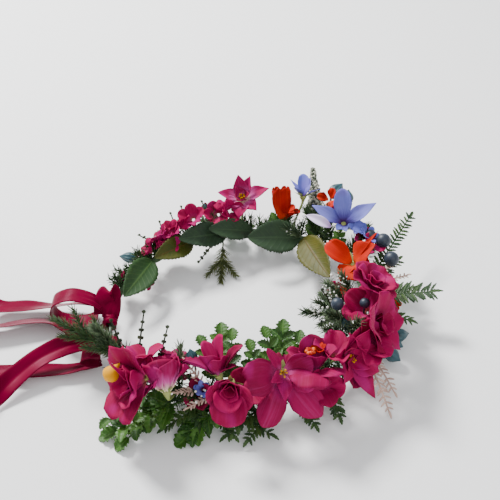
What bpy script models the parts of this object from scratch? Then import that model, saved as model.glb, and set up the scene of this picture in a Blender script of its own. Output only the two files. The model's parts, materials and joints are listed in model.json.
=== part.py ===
"""Flower crown: a taped wire ring with artificial blooms, leaves and sprigs, and two satin ribbons.

The crown lies on a table as it would for sale. The origin is the centre of the head opening on the
table, +Z is up, and the ribbons hang on the bare stretch of wire at the -X side. Every bloom is a cup
of petals on its own stem, and every ribbon is a knot round the wire, a bow and two tails.
"""

import bmesh
import bpy
from math import cos, hypot, pi, radians, sin
from mathutils import Matrix, Vector
from mathutils.geometry import tessellate_polygon

MM = 0.001
UP = Vector((0, 0, 1))

# Ring: an oval, as a head is, turned in the table's plane.
RING_LONG = 94 * MM
RING_SHORT = 80 * MM
RING_TILT = 28
RING_HEIGHT = 18 * MM
WIRE_RADIUS = 0.8 * MM
WRAP_RADIUS = 2.3 * MM
WRAP_BORE = 1.1 * MM
WRAP_START = 209
WRAP_END = 535
WIRE_POINTS = 60
WRAP_STATIONS = 46

CLEAR = 0.3 * MM
STEM_RADIUS = 0.8 * MM
CALYX_LENGTH = 5 * MM
PETAL_THICK = 1.0 * MM
CUP_SHARES = (0.16, 0.62, 1.0)
LEAF_THICK = 0.8 * MM
LEAF_STALK = 0.14
RIBBON_WIDTH = 15 * MM
RIBBON_THICK = 0.6 * MM
BOW_WIDTH = 12 * MM

COLOURS = {
    "wire": ((0.30, 0.22, 0.15), 0.5, 0.8),
    "tape": ((0.16, 0.22, 0.10), 0.8, 0.0),
    "magenta": ((0.62, 0.02, 0.20), 0.6, 0.0),
    "blue": ((0.22, 0.26, 0.72), 0.6, 0.0),
    "orange": ((0.78, 0.09, 0.02), 0.6, 0.0),
    "calyx": ((0.25, 0.36, 0.10), 0.6, 0.0),
    "leaf": ((0.05, 0.14, 0.04), 0.6, 0.0),
    "olive": ((0.28, 0.30, 0.05), 0.6, 0.0),
    "herb": ((0.07, 0.22, 0.04), 0.6, 0.0),
    "sprig": ((0.10, 0.17, 0.09), 0.7, 0.0),
    "teal": ((0.03, 0.18, 0.22), 0.5, 0.0),
    "navy": ((0.02, 0.03, 0.08), 0.4, 0.0),
    "yellow": ((0.90, 0.50, 0.03), 0.5, 0.0),
    "satin": ((0.40, 0.01, 0.10), 0.35, 0.0),
}


# ---------------------------------------------------------------- helpers


def clear_scene():
    for thing in list(bpy.data.objects):
        bpy.data.objects.remove(thing)


def material(name):
    found = bpy.data.materials.get(name)
    if found:
        return found
    colour, roughness, metallic = COLOURS[name]
    made = bpy.data.materials.new(name)
    made.use_nodes = True
    shader = made.node_tree.nodes["Principled BSDF"]
    shader.inputs["Base Color"].default_value = (*colour, 1.0)
    shader.inputs["Roughness"].default_value = roughness
    shader.inputs["Metallic"].default_value = metallic
    return made


def ring_radius(angle):
    """The oval's radius at a direction seen from its centre, in degrees."""
    turn = radians(angle - RING_TILT)
    return RING_LONG * RING_SHORT / hypot(RING_SHORT * cos(turn), RING_LONG * sin(turn))


def around(angle, out=0.0, height=RING_HEIGHT):
    """A point near the ring: its direction, its distance outside the wire, and its height."""
    reach = ring_radius(angle) + out
    return Vector((reach * cos(radians(angle)), reach * sin(radians(angle)), height))


def heading(turn, rise):
    """The unit direction at a compass turn in the table's plane and a rise above it."""
    flat = cos(radians(rise))
    return Vector((flat * cos(radians(turn)), flat * sin(radians(turn)), sin(radians(rise))))


def facing(origin, direction, roll=0.0):
    """The matrix that carries local +Z to a direction, and turns it by roll about that."""
    turned = direction.to_track_quat("Z", "Y").to_matrix().to_4x4()
    return Matrix.Translation(origin) @ turned @ Matrix.Rotation(radians(roll), 4, "Z")


def laid_along(origin, direction, roll=0.0):
    """The matrix that carries local +X along a direction with local +Z up, rolled about it."""
    turned = direction.to_track_quat("X", "Z").to_matrix().to_4x4()
    return Matrix.Translation(origin) @ turned @ Matrix.Rotation(radians(roll), 4, "X")


def add_mesh(name, colour, shape, recalculate=True):
    """Closes a bmesh into a named object with its faces pointing out."""
    if recalculate:
        bmesh.ops.recalc_face_normals(shape, faces=shape.faces)
    mesh = bpy.data.meshes.new(name)
    shape.to_mesh(mesh)
    shape.free()
    mesh.materials.append(material(colour))
    mesh.shade_smooth()
    thing = bpy.data.objects.new(name, mesh)
    bpy.context.collection.objects.link(thing)
    return thing


def smooth_line(points, steps):
    """A Catmull-Rom curve through the points, with this many steps between each two."""
    ends = [2 * points[0] - points[1], *points, 2 * points[-1] - points[-2]]
    line = []
    for a, b, c, d in zip(ends, ends[1:], ends[2:], ends[3:]):
        for k in range(steps):
            t = k / steps
            line.append(
                0.5 * (2 * b + (c - a) * t + (2 * a - 5 * b + 4 * c - d) * t**2)
                + 0.5 * (3 * b - a - 3 * c + d) * t**3
            )
    return [*line, points[-1].copy()]


def tube(name, colour, line, radii, sides=1, closed=False):
    """A round rod along a line of points, as a bevelled curve with its own radius at each point."""
    data = bpy.data.curves.new(name, "CURVE")
    data.dimensions = "3D"
    data.bevel_depth = 1.0
    data.bevel_resolution = sides
    data.use_fill_caps = not closed
    spline = data.splines.new("POLY")
    spline.points.add(len(line) - 1)
    for point, place, radius in zip(spline.points, line, radii):
        point.co = (*place, 1.0)
        point.radius = radius
    spline.use_cyclic_u = closed
    data.materials.append(material(colour))
    thing = bpy.data.objects.new(name, data)
    bpy.context.collection.objects.link(thing)
    return thing


def skin(shape, rings, closed_ends=True):
    """Joins neighbouring rings of vertices with faces, and caps the first and last."""
    for first, second in zip(rings, rings[1:]):
        count = len(first)
        for k in range(count):
            following = (k + 1) % count
            shape.faces.new((first[k], first[following], second[following], second[k]))
    if closed_ends:
        shape.faces.new(rings[0][::-1])
        shape.faces.new(rings[-1])


def turned(name, colour, place, profile, sides=8):
    """A solid of revolution about local Z, from (height, radius) pairs."""
    shape = bmesh.new()
    turns = [2 * pi * k / sides for k in range(sides)]
    rings = []
    for height, radius in profile:
        points = [Vector((radius * cos(t), radius * sin(t), height)) for t in turns]
        rings.append([shape.verts.new(place @ point) for point in points])
    skin(shape, rings)
    return add_mesh(name, colour, shape)


def strip(name, colour, line, across, width):
    """A flat ribbon along a line, with the direction of its width given at each point."""
    shape = bmesh.new()
    rings = []
    for k, place in enumerate(line):
        ahead = (line[min(k + 1, len(line) - 1)] - line[max(k - 1, 0)]).normalized()
        wide = (across[k] - ahead * across[k].dot(ahead)).normalized()
        out = ahead.cross(wide)
        corners = [(-1, -1), (1, -1), (1, 1), (-1, 1)]
        offsets = [wide * (a * width / 2) + out * (b * RIBBON_THICK / 2) for a, b in corners]
        rings.append([shape.verts.new(place + offset) for offset in offsets])
    skin(shape, rings)
    return add_mesh(name, colour, shape)


def plate(name, colour, place, outline, thick, cup=0.0):
    """A thin plate in local XY, with an outline that runs clockwise, cupped across Y."""
    shape = bmesh.new()
    edge = [Vector((x, y, 0.0)) for x, y in reversed(outline)]
    top = [shape.verts.new(point + UP * thick) for point in edge]
    bottom = [shape.verts.new(point) for point in edge]
    # Cutting a polygon into triangles needs sizes near 1, so it is done in millimetres.
    for a, b, c in tessellate_polygon([[point / MM for point in edge]]):
        if (edge[b] - edge[a]).cross(edge[c] - edge[a]).z < 0:
            b, c = c, b
        shape.faces.new((top[a], top[b], top[c]))
        shape.faces.new((bottom[c], bottom[b], bottom[a]))
    for k in range(len(edge)):
        following = (k + 1) % len(edge)
        shape.faces.new((top[k], bottom[k], bottom[following], top[following]))
    for v in shape.verts:
        v.co.z += cup * v.co.y**2
        v.co = place @ v.co
    return add_mesh(name, colour, shape, recalculate=False)


# ---------------------------------------------------------------- ring


def make_ring():
    """The closed wire, and the tape wound round it except where the ribbons are tied."""
    line = [around(360 * k / WIRE_POINTS) for k in range(WIRE_POINTS)]
    tube("frame_wire", "wire", line, [WIRE_RADIUS] * WIRE_POINTS, closed=True)

    shape = bmesh.new()
    sides = 7
    outer, inner = [], []
    for k in range(WRAP_STATIONS + 1):
        angle = WRAP_START + (WRAP_END - WRAP_START) * k / WRAP_STATIONS
        centre = around(angle)
        ahead = (around(angle + 1) - around(angle - 1)).normalized()
        side = ahead.cross(UP)
        for rings, radius in ((outer, WRAP_RADIUS), (inner, WRAP_BORE)):
            turns = [2 * pi * j / sides for j in range(sides)]
            rings.append(
                [
                    shape.verts.new(centre + radius * (side * cos(t) + UP * sin(t)))
                    for t in turns
                ]
            )
    skin(shape, outer, closed_ends=False)
    skin(shape, inner, closed_ends=False)
    skin(shape, [outer[0], inner[0]], closed_ends=False)
    skin(shape, [outer[-1], inner[-1]], closed_ends=False)
    add_mesh("tape_wrap", "tape", shape)


# ---------------------------------------------------------------- blooms

# name: colour, direction round the ring, distance out, height, radius of the cup, its depth, petals,
# and the turn and rise of its face. A small bloom has no face given: it sits straight on the tape.
BLOOMS = {
    "bloom_1": ("magenta", 230, 19, 33, 19, 12, 5, (215, 25)),
    "bloom_2": ("magenta", 243, 9, 38, 13, 15, 5, (110, 50)),
    "bloom_3": ("magenta", 237, -14, 27, 11, 9, 6, None),
    "bloom_4": ("magenta", 257, -8, 43, 17, 13, 5, (120, 55)),
    "bloom_5": ("magenta", 266, 20, 32, 15, 12, 5, (262, 15)),
    "bloom_6": ("magenta", 286, 16, 36, 18, 12, 5, (285, 40)),
    "bloom_7": ("magenta", 302, 3, 43, 14, 12, 5, (80, 65)),
    "bloom_8": ("magenta", 316, 21, 32, 16, 11, 5, (318, 30)),
    "bloom_9": ("magenta", 336, 18, 37, 17, 11, 5, (335, 35)),
    "bloom_10": ("magenta", 355, 8, 46, 16, 10, 5, (10, 65)),
    "bloom_11": ("magenta", 89, 12, 42, 16, 10, 6, (260, 65)),
    "bloom_12": ("magenta", 133, 12, 26, 12, 9, 6, None),
    "blue_flower_1": ("blue", 41, 10, 50, 19, 9, 5, (255, 60)),
    "blue_flower_2": ("blue", 64, 25, 43, 10, 9, 5, (80, 55)),
    "orange_flower_1": ("orange", 12, -10, 45, 15, 13, 5, (215, 60)),
    "orange_flower_2": ("orange", 74, 8, 40, 9, 11, 5, None),
}


def petal_cup(name, colour, place, radius, depth, petals, neck=0.0):
    """The petals of one bloom as a thin lobed cup that opens along local +Z from its base at 0."""
    shape = bmesh.new()
    sides = 4 * petals
    turns = [2 * pi * k / sides for k in range(sides)]

    def ring(share, lift, narrow):
        made = []
        for turn in turns:
            lobe = 1 - 0.22 * share * (0.5 - 0.5 * cos(petals * turn))
            reach = radius * share * lobe - narrow
            rise = depth * (1.25 * share - 0.25 * share**3) * (1 - 0.1 * share * cos(petals * turn))
            made.append(shape.verts.new(place @ Vector((reach * cos(turn), reach * sin(turn), rise + lift))))
        return made

    outer = [ring(share, 0.0, 0.0) for share in CUP_SHARES]
    inner = [ring(share, PETAL_THICK, 0.6 * PETAL_THICK) for share in CUP_SHARES]
    if neck:
        outer.insert(0, ring(STEM_RADIUS / radius, -neck, 0.0))
    skin(shape, outer, closed_ends=False)
    skin(shape, inner, closed_ends=False)
    skin(shape, [outer[-1], inner[-1]], closed_ends=False)
    shape.faces.new(outer[0])
    shape.faces.new(inner[0])
    return add_mesh(name, colour, shape)


def make_blooms():
    """Each bloom: a cup of petals, and a stem that swells into the calyx under it."""
    for name, (colour, angle, out, height, radius, depth, petals, face) in BLOOMS.items():
        middle = around(angle, out * MM, height * MM)
        wire = around(angle)
        if face is None:
            axis = (middle - wire).normalized()
            base = middle - axis * (0.5 * depth * MM)
            neck = (base - wire).length - WRAP_RADIUS - CLEAR
            petal_cup(f"{name}_petals", colour, facing(base, axis), radius * MM, depth * MM, petals, neck)
            continue
        axis = heading(*face)
        base = middle - axis * (0.5 * depth * MM)
        petal_cup(f"{name}_petals", colour, facing(base, axis), radius * MM, depth * MM, petals)
        foot = wire + (base - axis * (6 * MM) - wire).normalized() * (WRAP_RADIUS + STEM_RADIUS + CLEAR)
        top = base - axis * CLEAR
        bend = foot.lerp(top - axis * (0.55 * (top - foot).length), 0.6)
        line = smooth_line([foot, bend, top - axis * CALYX_LENGTH, top], 2)
        swell = [1, 1, 1, 1, 1.3, 2.2, 3.2]
        tube(f"{name}_stem", "calyx", line, [STEM_RADIUS * share for share in swell])


# ---------------------------------------------------------------- leaves and sprays


def span(root, tip):
    """A piece's two ends. Each is a direction round the ring, a distance out and a height (mm)."""
    return [around(angle, out * MM, height * MM) for angle, out, height in (root, tip)]


# name: colour, its root beside the tape, its tip, roll and width
LEAVES = {
    "rose_leaf_1": ("leaf", (146, -3, 22), (177, -6, 22), -32, 22),
    "rose_leaf_2": ("olive", (119, -3, 22), (149, -9, 30), -38, 18),
    "rose_leaf_3": ("leaf", (98, -3, 22), (130, -8, 34), -40, 20),
    "rose_leaf_4": ("leaf", (83, -3, 22), (110, -8, 34), -40, 17),
    "rose_leaf_5": ("leaf", (57, -4, 22), (85, -20, 29), -40, 26),
    "rose_leaf_6": ("olive", (55, -4, 22.5), (19, -23, 24), 34, 23),
}


def leaf_outline(length, width, steps=7):
    """A pointed oval on a short stalk, with its foot at the origin and its tip on +X."""
    stalk = LEAF_STALK * length
    half = 0.6 * MM
    upper = [(stalk, half)]
    for k in range(1, steps):
        t = k / steps
        upper.append((stalk + (length - stalk) * t, 0.5 * width * sin(pi * t**0.85)))
    lower = [(x, -y) for x, y in reversed(upper)]
    return [(0.0, half), *upper, (length, 0.0), *lower, (0.0, -half)]


def herb_outline(length, bare, leaflets, reach, tip_size):
    """A flat spray: a bare stem along +X, then leaflets on alternate sides and one at its tip."""
    neck = length - tip_size
    pitch = (neck - bare * length) / (leaflets + 0.35)
    broad = 0.8 * pitch

    def stem(x):
        """The stem's half width, a little fuller halfway."""
        return 0.7 * MM * (1 + 0.5 * sin(pi * x / length))

    def leaflet(place, side):
        x = bare * length + pitch * place
        lean = 0.3 * broad
        back, front = x - 0.1 * broad, x + 0.3 * broad
        return [
            (back, side * stem(back)),
            (x - 0.38 * broad + lean, side * (reach * 0.5)),
            (x - 0.25 * broad + lean, side * (reach * 0.85)),
            (x + lean, side * reach),
            (x + 0.3 * broad + lean, side * (reach * 0.8)),
            (x + 0.4 * broad + lean, side * (reach * 0.45)),
            (front, side * stem(front)),
        ]

    upper = [p for k in range(leaflets) for p in leaflet(k + 0.15, 1)]
    lower = [p for k in range(leaflets) for p in leaflet(k + 0.5, -1)]
    tip = [
        (neck, stem(neck)),
        (neck + 0.15 * tip_size, 0.42 * tip_size),
        (neck + 0.6 * tip_size, 0.45 * tip_size),
        (length, 0.0),
        (neck + 0.6 * tip_size, -0.45 * tip_size),
        (neck + 0.15 * tip_size, -0.42 * tip_size),
        (neck, -stem(neck)),
    ]
    return [(0.0, stem(0.0)), *upper, *tip, *reversed(lower), (0.0, -stem(0.0))]


# name: colour, its root, its tip, roll, bare share, leaflets a side, their reach, the tip leaflet
SPRAYS = {
    "herb_spray_left": ("herb", (248, 4, 16), (231, 44, 0), 0, 0.35, 2, 8, 11),
    "herb_spray_front": ("herb", (264, 3.5, 16), (252, 28, 0), 0, 0.3, 2, 7, 9),
    "herb_spray_inner_1": ("herb", (264, -2, 21.5), (253, -43, 38), 0, 0.3, 2, 8, 10),
    "herb_spray_inner_2": ("herb", (291, -2, 21.5), (305, -30, 40), 0, 0.3, 2, 7, 9),
    "herb_spray_back": ("herb", (97, 3.5, 16), (94, 36, 0), 0, 0.25, 2, 8, 10),
    "fern_frond_1": ("sprig", (12, 4, 20), (32, 62, 36), 20, 0.42, 7, 8, 5),
    "fern_frond_2": ("sprig", (3, 4, 19), (1, 48, 30), 10, 0.25, 6, 9, 5),
}


def make_leaves():
    for name, (colour, root, tip, roll, width) in LEAVES.items():
        start, end = span(root, tip)
        length = (end - start).length
        place = laid_along(start, (end - start).normalized(), roll)
        plate(name, colour, place, leaf_outline(length, width * MM), LEAF_THICK, cup=8.0)
    for name, (colour, root, tip, roll, bare, leaflets, reach, tip_size) in SPRAYS.items():
        start, end = span(root, tip)
        length = (end - start).length
        place = laid_along(start, (end - start).normalized(), roll)
        outline = herb_outline(length, bare, leaflets, reach * MM, tip_size * MM)
        plate(name, colour, place, outline, LEAF_THICK)


# ---------------------------------------------------------------- sprigs, buds and berries

# name: colour, its root, its tip, and its radius at even steps along it
SPRIGS = {
    "heather_sprig": ("sprig", (51, 4, 20), (66, 57, 46), (0.8, 0.8, 0.8, 0.8, 4, 5.5, 5, 3, 1)),
    "pine_sprig": ("sprig", (216, 0, 23), (194, 36, 34), (0.8, 0.8, 4, 4.5, 4.5, 4.5, 4, 3, 1)),
    "inner_sprig_right": ("sprig", (352, -4, 19), (337, -35, 30), (0.8, 3, 6, 7.5, 7.5, 6, 4, 1)),
    "inner_sprig_back": ("sprig", (100, -4, 16), (108, -33, 0.72), (0.8, 1.5, 3, 4, 4, 3, 2, 0.8)),
    "teal_bud_back": ("teal", (46, 3, 21), (57, 46, 46), (0.8, 0.8, 0.8, 0.8, 0.8, 3.5, 5, 5, 4.4, 2)),
    "teal_bud_right": ("teal", (347, 4, 17), (347, 30, 1.9), (0.8, 0.8, 1.2, 3.5, 5, 5.4, 4.5, 2)),
    "navy_berry": ("navy", (26, 3, 21), (23, 29, 42), (0.8, 0.8, 0.8, 0.8, 0.8, 3.4, 4.6, 4.6, 3.2, 1)),
    "yellow_bud": ("yellow", (214, 4, 19), (219, 24, 22), (0.8, 0.8, 0.8, 2, 4.4, 5.2, 4.6, 2.6, 0.8)),
}


def make_sprigs():
    """Spindles that stand for the needled and flowered sprigs, the buds and the berry."""
    for name, (colour, root, tip, radii) in SPRIGS.items():
        start, end = span(root, tip)
        place = facing(start, (end - start).normalized())
        pitch = (end - start).length / (len(radii) - 1)
        turned(name, colour, place, [(pitch * k, radius * MM) for k, radius in enumerate(radii)])


# ---------------------------------------------------------------- ribbons

KNOT_LENGTH = 9 * MM
KNOT_RADIUS = 5.5 * MM
KNOT_BORE = 2.3 * MM
KNOT_SIDES = 10
STRIP_STEPS = 2

# Each ribbon: where its knot is round the ring, and its bow's points in mm. A bow's width runs along Y.
RIBBONS = {
    "ribbon_a": (
        190.5,
        [
            (-96.5, -10, 27),
            (-104, -10, 34),
            (-117, -10, 38),
            (-129, -10, 33),
            (-132, -10, 24),
            (-127, -10, 15),
            (-116, -10, 11.5),
            (-106, -10, 14),
            (-99.5, -10, 20),
        ],
    ),
    "ribbon_b": (
        203.5,
        [
            (-94, -46, 20),
            (-102, -46, 20.5),
            (-107, -46, 16),
            (-103, -46, 11),
            (-95, -46, 11),
        ],
    ),
}

# Each tail: points it runs through in mm, and its lean at each: 0 is flat and 90 is on its edge.
TAILS = {
    "ribbon_a_tail_1": [
        ((-98, 2.5, 18), 10),
        ((-107, 7, 14), 10),
        ((-119, 9.5, 11), 10),
        ((-136, 9, 9), 10),
        ((-156, 9.5, 8.5), 10),
        ((-176, 9, 8), 20),
        ((-190, 13, 8), 60),
        ((-202, 23, 8), 85),
        ((-209, 38, 8), 90),
        ((-212, 55, 8), 90),
        ((-212, 72, 8), 90),
        ((-210, 89, 8), 90),
        ((-208, 105, 8), 90),
    ],
    "ribbon_a_tail_2": [
        ((-97, -19, 11), 10),
        ((-107, -15, 5), 5),
        ((-119, -10, 3.5), 5),
        ((-134, -4, 6), 45),
        ((-152, -6, 8), 80),
        ((-172, -11, 8), 85),
        ((-190, -14, 8), 90),
        ((-207, -11, 8), 90),
        ((-221, -1, 8), 90),
        ((-230, 14, 8), 90),
        ((-234, 32, 8), 90),
        ((-232, 50, 8), 90),
    ],
    "ribbon_b_tail_1": [
        ((-96, -31, 16), 50),
        ((-107, -32, 15), 45),
        ((-120, -37.5, 15.5), 30),
        ((-136, -48, 14), 25),
        ((-150, -61, 10), 40),
        ((-161, -76, 8), 65),
        ((-172, -92, 8), 85),
        ((-186, -106, 8), 90),
        ((-204, -114, 8), 90),
        ((-222, -112, 8), 90),
        ((-236, -101, 8), 90),
        ((-242, -84, 8), 90),
    ],
    "ribbon_b_tail_2": [
        ((-95, -43, 7), 10),
        ((-105, -46, 4.5), 5),
        ((-117, -48.5, 4), 0),
        ((-131, -49.5, 4), 0),
        ((-148, -51, 4.5), 10),
        ((-166, -53, 5), 20),
        ((-184, -56, 6), 60),
        ((-201, -60, 8), 90),
        ((-217, -60, 8), 90),
        ((-232, -55, 8), 90),
        ((-245, -46, 8), 90),
    ],
}


def make_knot(name, angle):
    """A fat ring of wound ribbon, which turns on the bare wire."""
    ahead = (around(angle + 1) - around(angle - 1)).normalized()
    place = facing(around(angle) - ahead * (KNOT_LENGTH / 2), ahead)
    swell = [(0, 0.8), (0.25, 1.0), (0.75, 1.0), (1, 0.8)]
    profile = [(share * KNOT_LENGTH, KNOT_RADIUS * size) for share, size in swell]
    profile += [(KNOT_LENGTH, KNOT_BORE), (0.0, KNOT_BORE)]
    turns = [2 * pi * k / KNOT_SIDES for k in range(KNOT_SIDES)]
    shape = bmesh.new()
    rings = []
    for height, radius in profile:
        points = [Vector((radius * cos(t), radius * sin(t), height)) for t in turns]
        rings.append([shape.verts.new(place @ point) for point in points])
    skin(shape, [*rings, rings[0]], closed_ends=False)
    add_mesh(name, "satin", shape)


def make_ribbons():
    """Two ribbons, each with a knot round the bare wire, a bow, and two tails."""
    for name, (angle, bow) in RIBBONS.items():
        make_knot(f"{name}_knot", angle)
        line = smooth_line([Vector(point) * MM for point in bow], STRIP_STEPS)
        strip(f"{name}_bow", "satin", line, [Vector((0, 1, 0))] * len(line), BOW_WIDTH)
    for name, rows in TAILS.items():
        line = smooth_line([Vector(point) * MM for point, _ in rows], STRIP_STEPS)
        leans = [v.x for v in smooth_line([Vector((lean, 0)) for _, lean in rows], STRIP_STEPS)]
        across = []
        for k, place in enumerate(line):
            lean = radians(leans[k])
            place.z = max(place.z, 0.5 * RIBBON_WIDTH * abs(sin(lean)) + RIBBON_THICK)
            ahead = line[min(k + 1, len(line) - 1)] - line[max(k - 1, 0)]
            side = ahead.cross(UP).normalized()
            across.append(side * cos(lean) + UP * sin(lean))
        strip(name, "satin", line, across, RIBBON_WIDTH)


def main():
    clear_scene()
    make_ring()
    make_blooms()
    make_leaves()
    make_sprigs()
    make_ribbons()


main()
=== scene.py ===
# %% [markdown]
# # A flower crown
# The real thing is a wire oval wound with waxed paper tape. Cloth blooms, pressed leaves and moulded
# sprigs are taped to it, and two satin ribbons are tied where the wire stays bare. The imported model
# holds the structure and the joints. This lesson makes each piece as fine as the real one, in the
# place that the structure gives it.

import json
import random
from math import cos, pi, radians, sin

import bpy
import numpy as np
from mathutils import Matrix, Vector


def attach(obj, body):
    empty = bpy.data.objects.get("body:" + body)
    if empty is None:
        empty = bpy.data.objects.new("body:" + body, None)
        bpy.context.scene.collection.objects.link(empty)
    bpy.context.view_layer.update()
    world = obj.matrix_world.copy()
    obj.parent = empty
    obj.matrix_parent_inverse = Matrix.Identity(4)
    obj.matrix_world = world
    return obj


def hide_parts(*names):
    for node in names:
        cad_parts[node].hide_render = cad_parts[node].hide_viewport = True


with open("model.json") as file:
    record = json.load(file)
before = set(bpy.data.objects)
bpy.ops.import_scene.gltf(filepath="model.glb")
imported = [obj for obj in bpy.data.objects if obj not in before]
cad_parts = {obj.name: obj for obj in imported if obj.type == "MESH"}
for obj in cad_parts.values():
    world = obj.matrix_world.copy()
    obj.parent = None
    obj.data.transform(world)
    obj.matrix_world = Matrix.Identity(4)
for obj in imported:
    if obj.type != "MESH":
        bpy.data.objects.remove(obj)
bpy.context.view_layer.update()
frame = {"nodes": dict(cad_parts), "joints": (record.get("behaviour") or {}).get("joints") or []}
MM = 0.001
UP = Vector((0, 0, 1))

# %% [markdown]
# ## The view
# A camera could stand anywhere, but a crown is read best from a little above, with the far side of the
# ring in sight through the near side. It looks down by forty degrees from 0.7 metres away.

# %% Camera
LOOK_DOWN = 40
LOOK_FROM = 0.70
LOOK_AT = Vector((0.0077, 0.0836, 0.0))
camera_data = bpy.data.cameras.new("camera")
camera_data.lens = 62.5
camera = bpy.data.objects.new("camera", camera_data)
bpy.context.collection.objects.link(camera)
fall = radians(LOOK_DOWN)
camera.location = LOOK_AT - LOOK_FROM * Vector((0, cos(fall), -sin(fall)))
camera.rotation_euler = (pi / 2 - fall, 0, 0)
bpy.context.scene.camera = camera
print("camera at", [round(x, 3) for x in camera.location])

# %% [markdown]
# ## Shader sums
# A finish is a small graph of nodes. Wiring each Math node by hand hides the idea, so a little class
# wraps a socket and gives it Python's own signs: `1 - mask` or `a * 3 + b` adds the nodes by itself.


# %% A socket with Python's signs
class Signal:
    """One output socket of a finish's graph."""

    def __init__(self, finish, socket):
        self.finish = finish
        self.socket = socket

    def math(self, operation, *others):
        values = dict(enumerate((self, *others)))
        return self.finish.node("ShaderNodeMath", {"operation": operation}, values)

    def __add__(self, other):
        return self.math("ADD", other)

    def __sub__(self, other):
        return self.math("SUBTRACT", other)

    def __rsub__(self, other):
        return (self * -1.0) + other

    def __mul__(self, other):
        return self.math("MULTIPLY", other)

    __radd__ = __add__
    __rmul__ = __mul__

    def size(self):
        return self.math("ABSOLUTE")

    def between(self, low, high):
        """0 below low and 1 above high, with a smooth step from one to the other."""
        return self.finish.node(
            "ShaderNodeMapRange",
            {"interpolation_type": "SMOOTHSTEP"},
            {"Value": self, "From Min": low, "From Max": high},
        )


class Finish:
    """A material, and the one method that adds any node to its graph."""

    def __init__(self, name, **constants):
        self.material = bpy.data.materials.new(name)
        self.material.use_nodes = True
        self.tree = self.material.node_tree
        self.shader = self.tree.nodes["Principled BSDF"]
        for socket, value in constants.items():
            self.shader.inputs[socket.replace("_", " ")].default_value = value

    def feed(self, socket, value):
        if isinstance(value, Signal):
            self.tree.links.new(value.socket, socket)
        elif isinstance(value, tuple) and len(value) == 3 and socket.type == "RGBA":
            socket.default_value = (*value, 1.0)
        else:
            socket.default_value = value

    def node(self, kind, settings=None, values=None, out=0):
        made = self.tree.nodes.new(kind)
        for name, value in (settings or {}).items():
            setattr(made, name, value)
        for name, value in (values or {}).items():
            self.feed(made.inputs[name], value)
        return Signal(self, made.outputs[out])

    def split(self, vector):
        return [self.node("ShaderNodeSeparateXYZ", None, {0: vector}, out=k) for k in range(3)]

    def vector(self, x, y, z):
        return self.node("ShaderNodeCombineXYZ", None, {0: x, 1: y, 2: z})

    def place(self):
        return self.node("ShaderNodeTexCoord", out="Object")

    def noise(self, at, scale, detail=3.0, rough=0.55):
        values = {"Vector": at, "Scale": scale, "Detail": detail, "Roughness": rough}
        return self.node("ShaderNodeTexNoise", None, values, out="Fac")

    def mix(self, mask, first, second):
        values = {0: mask, 6: first, 7: second}
        return self.node("ShaderNodeMix", {"data_type": "RGBA"}, values, out=2)

    def set(self, socket, value):
        self.feed(self.shader.inputs[socket], value)

    def bump(self, height, strength, distance):
        values = {"Strength": strength, "Distance": distance, "Height": height}
        self.set("Normal", self.node("ShaderNodeBump", None, values))


print("shader helpers ready")

# %% [markdown]
# ## Where a point lies on its petal
# Cloth petals are dyed from the root outwards, and their veins fan out with them. So each point of a
# petal, leaf or ribbon carries a small chart: how far across it is, how far along, and a shade of its
# own for the whole piece. A finish reads the chart, and no picture has to be unwrapped.


# %% The chart, and a pile of surfaces that becomes one mesh
TABLE_GAP = 0.0006


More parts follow.
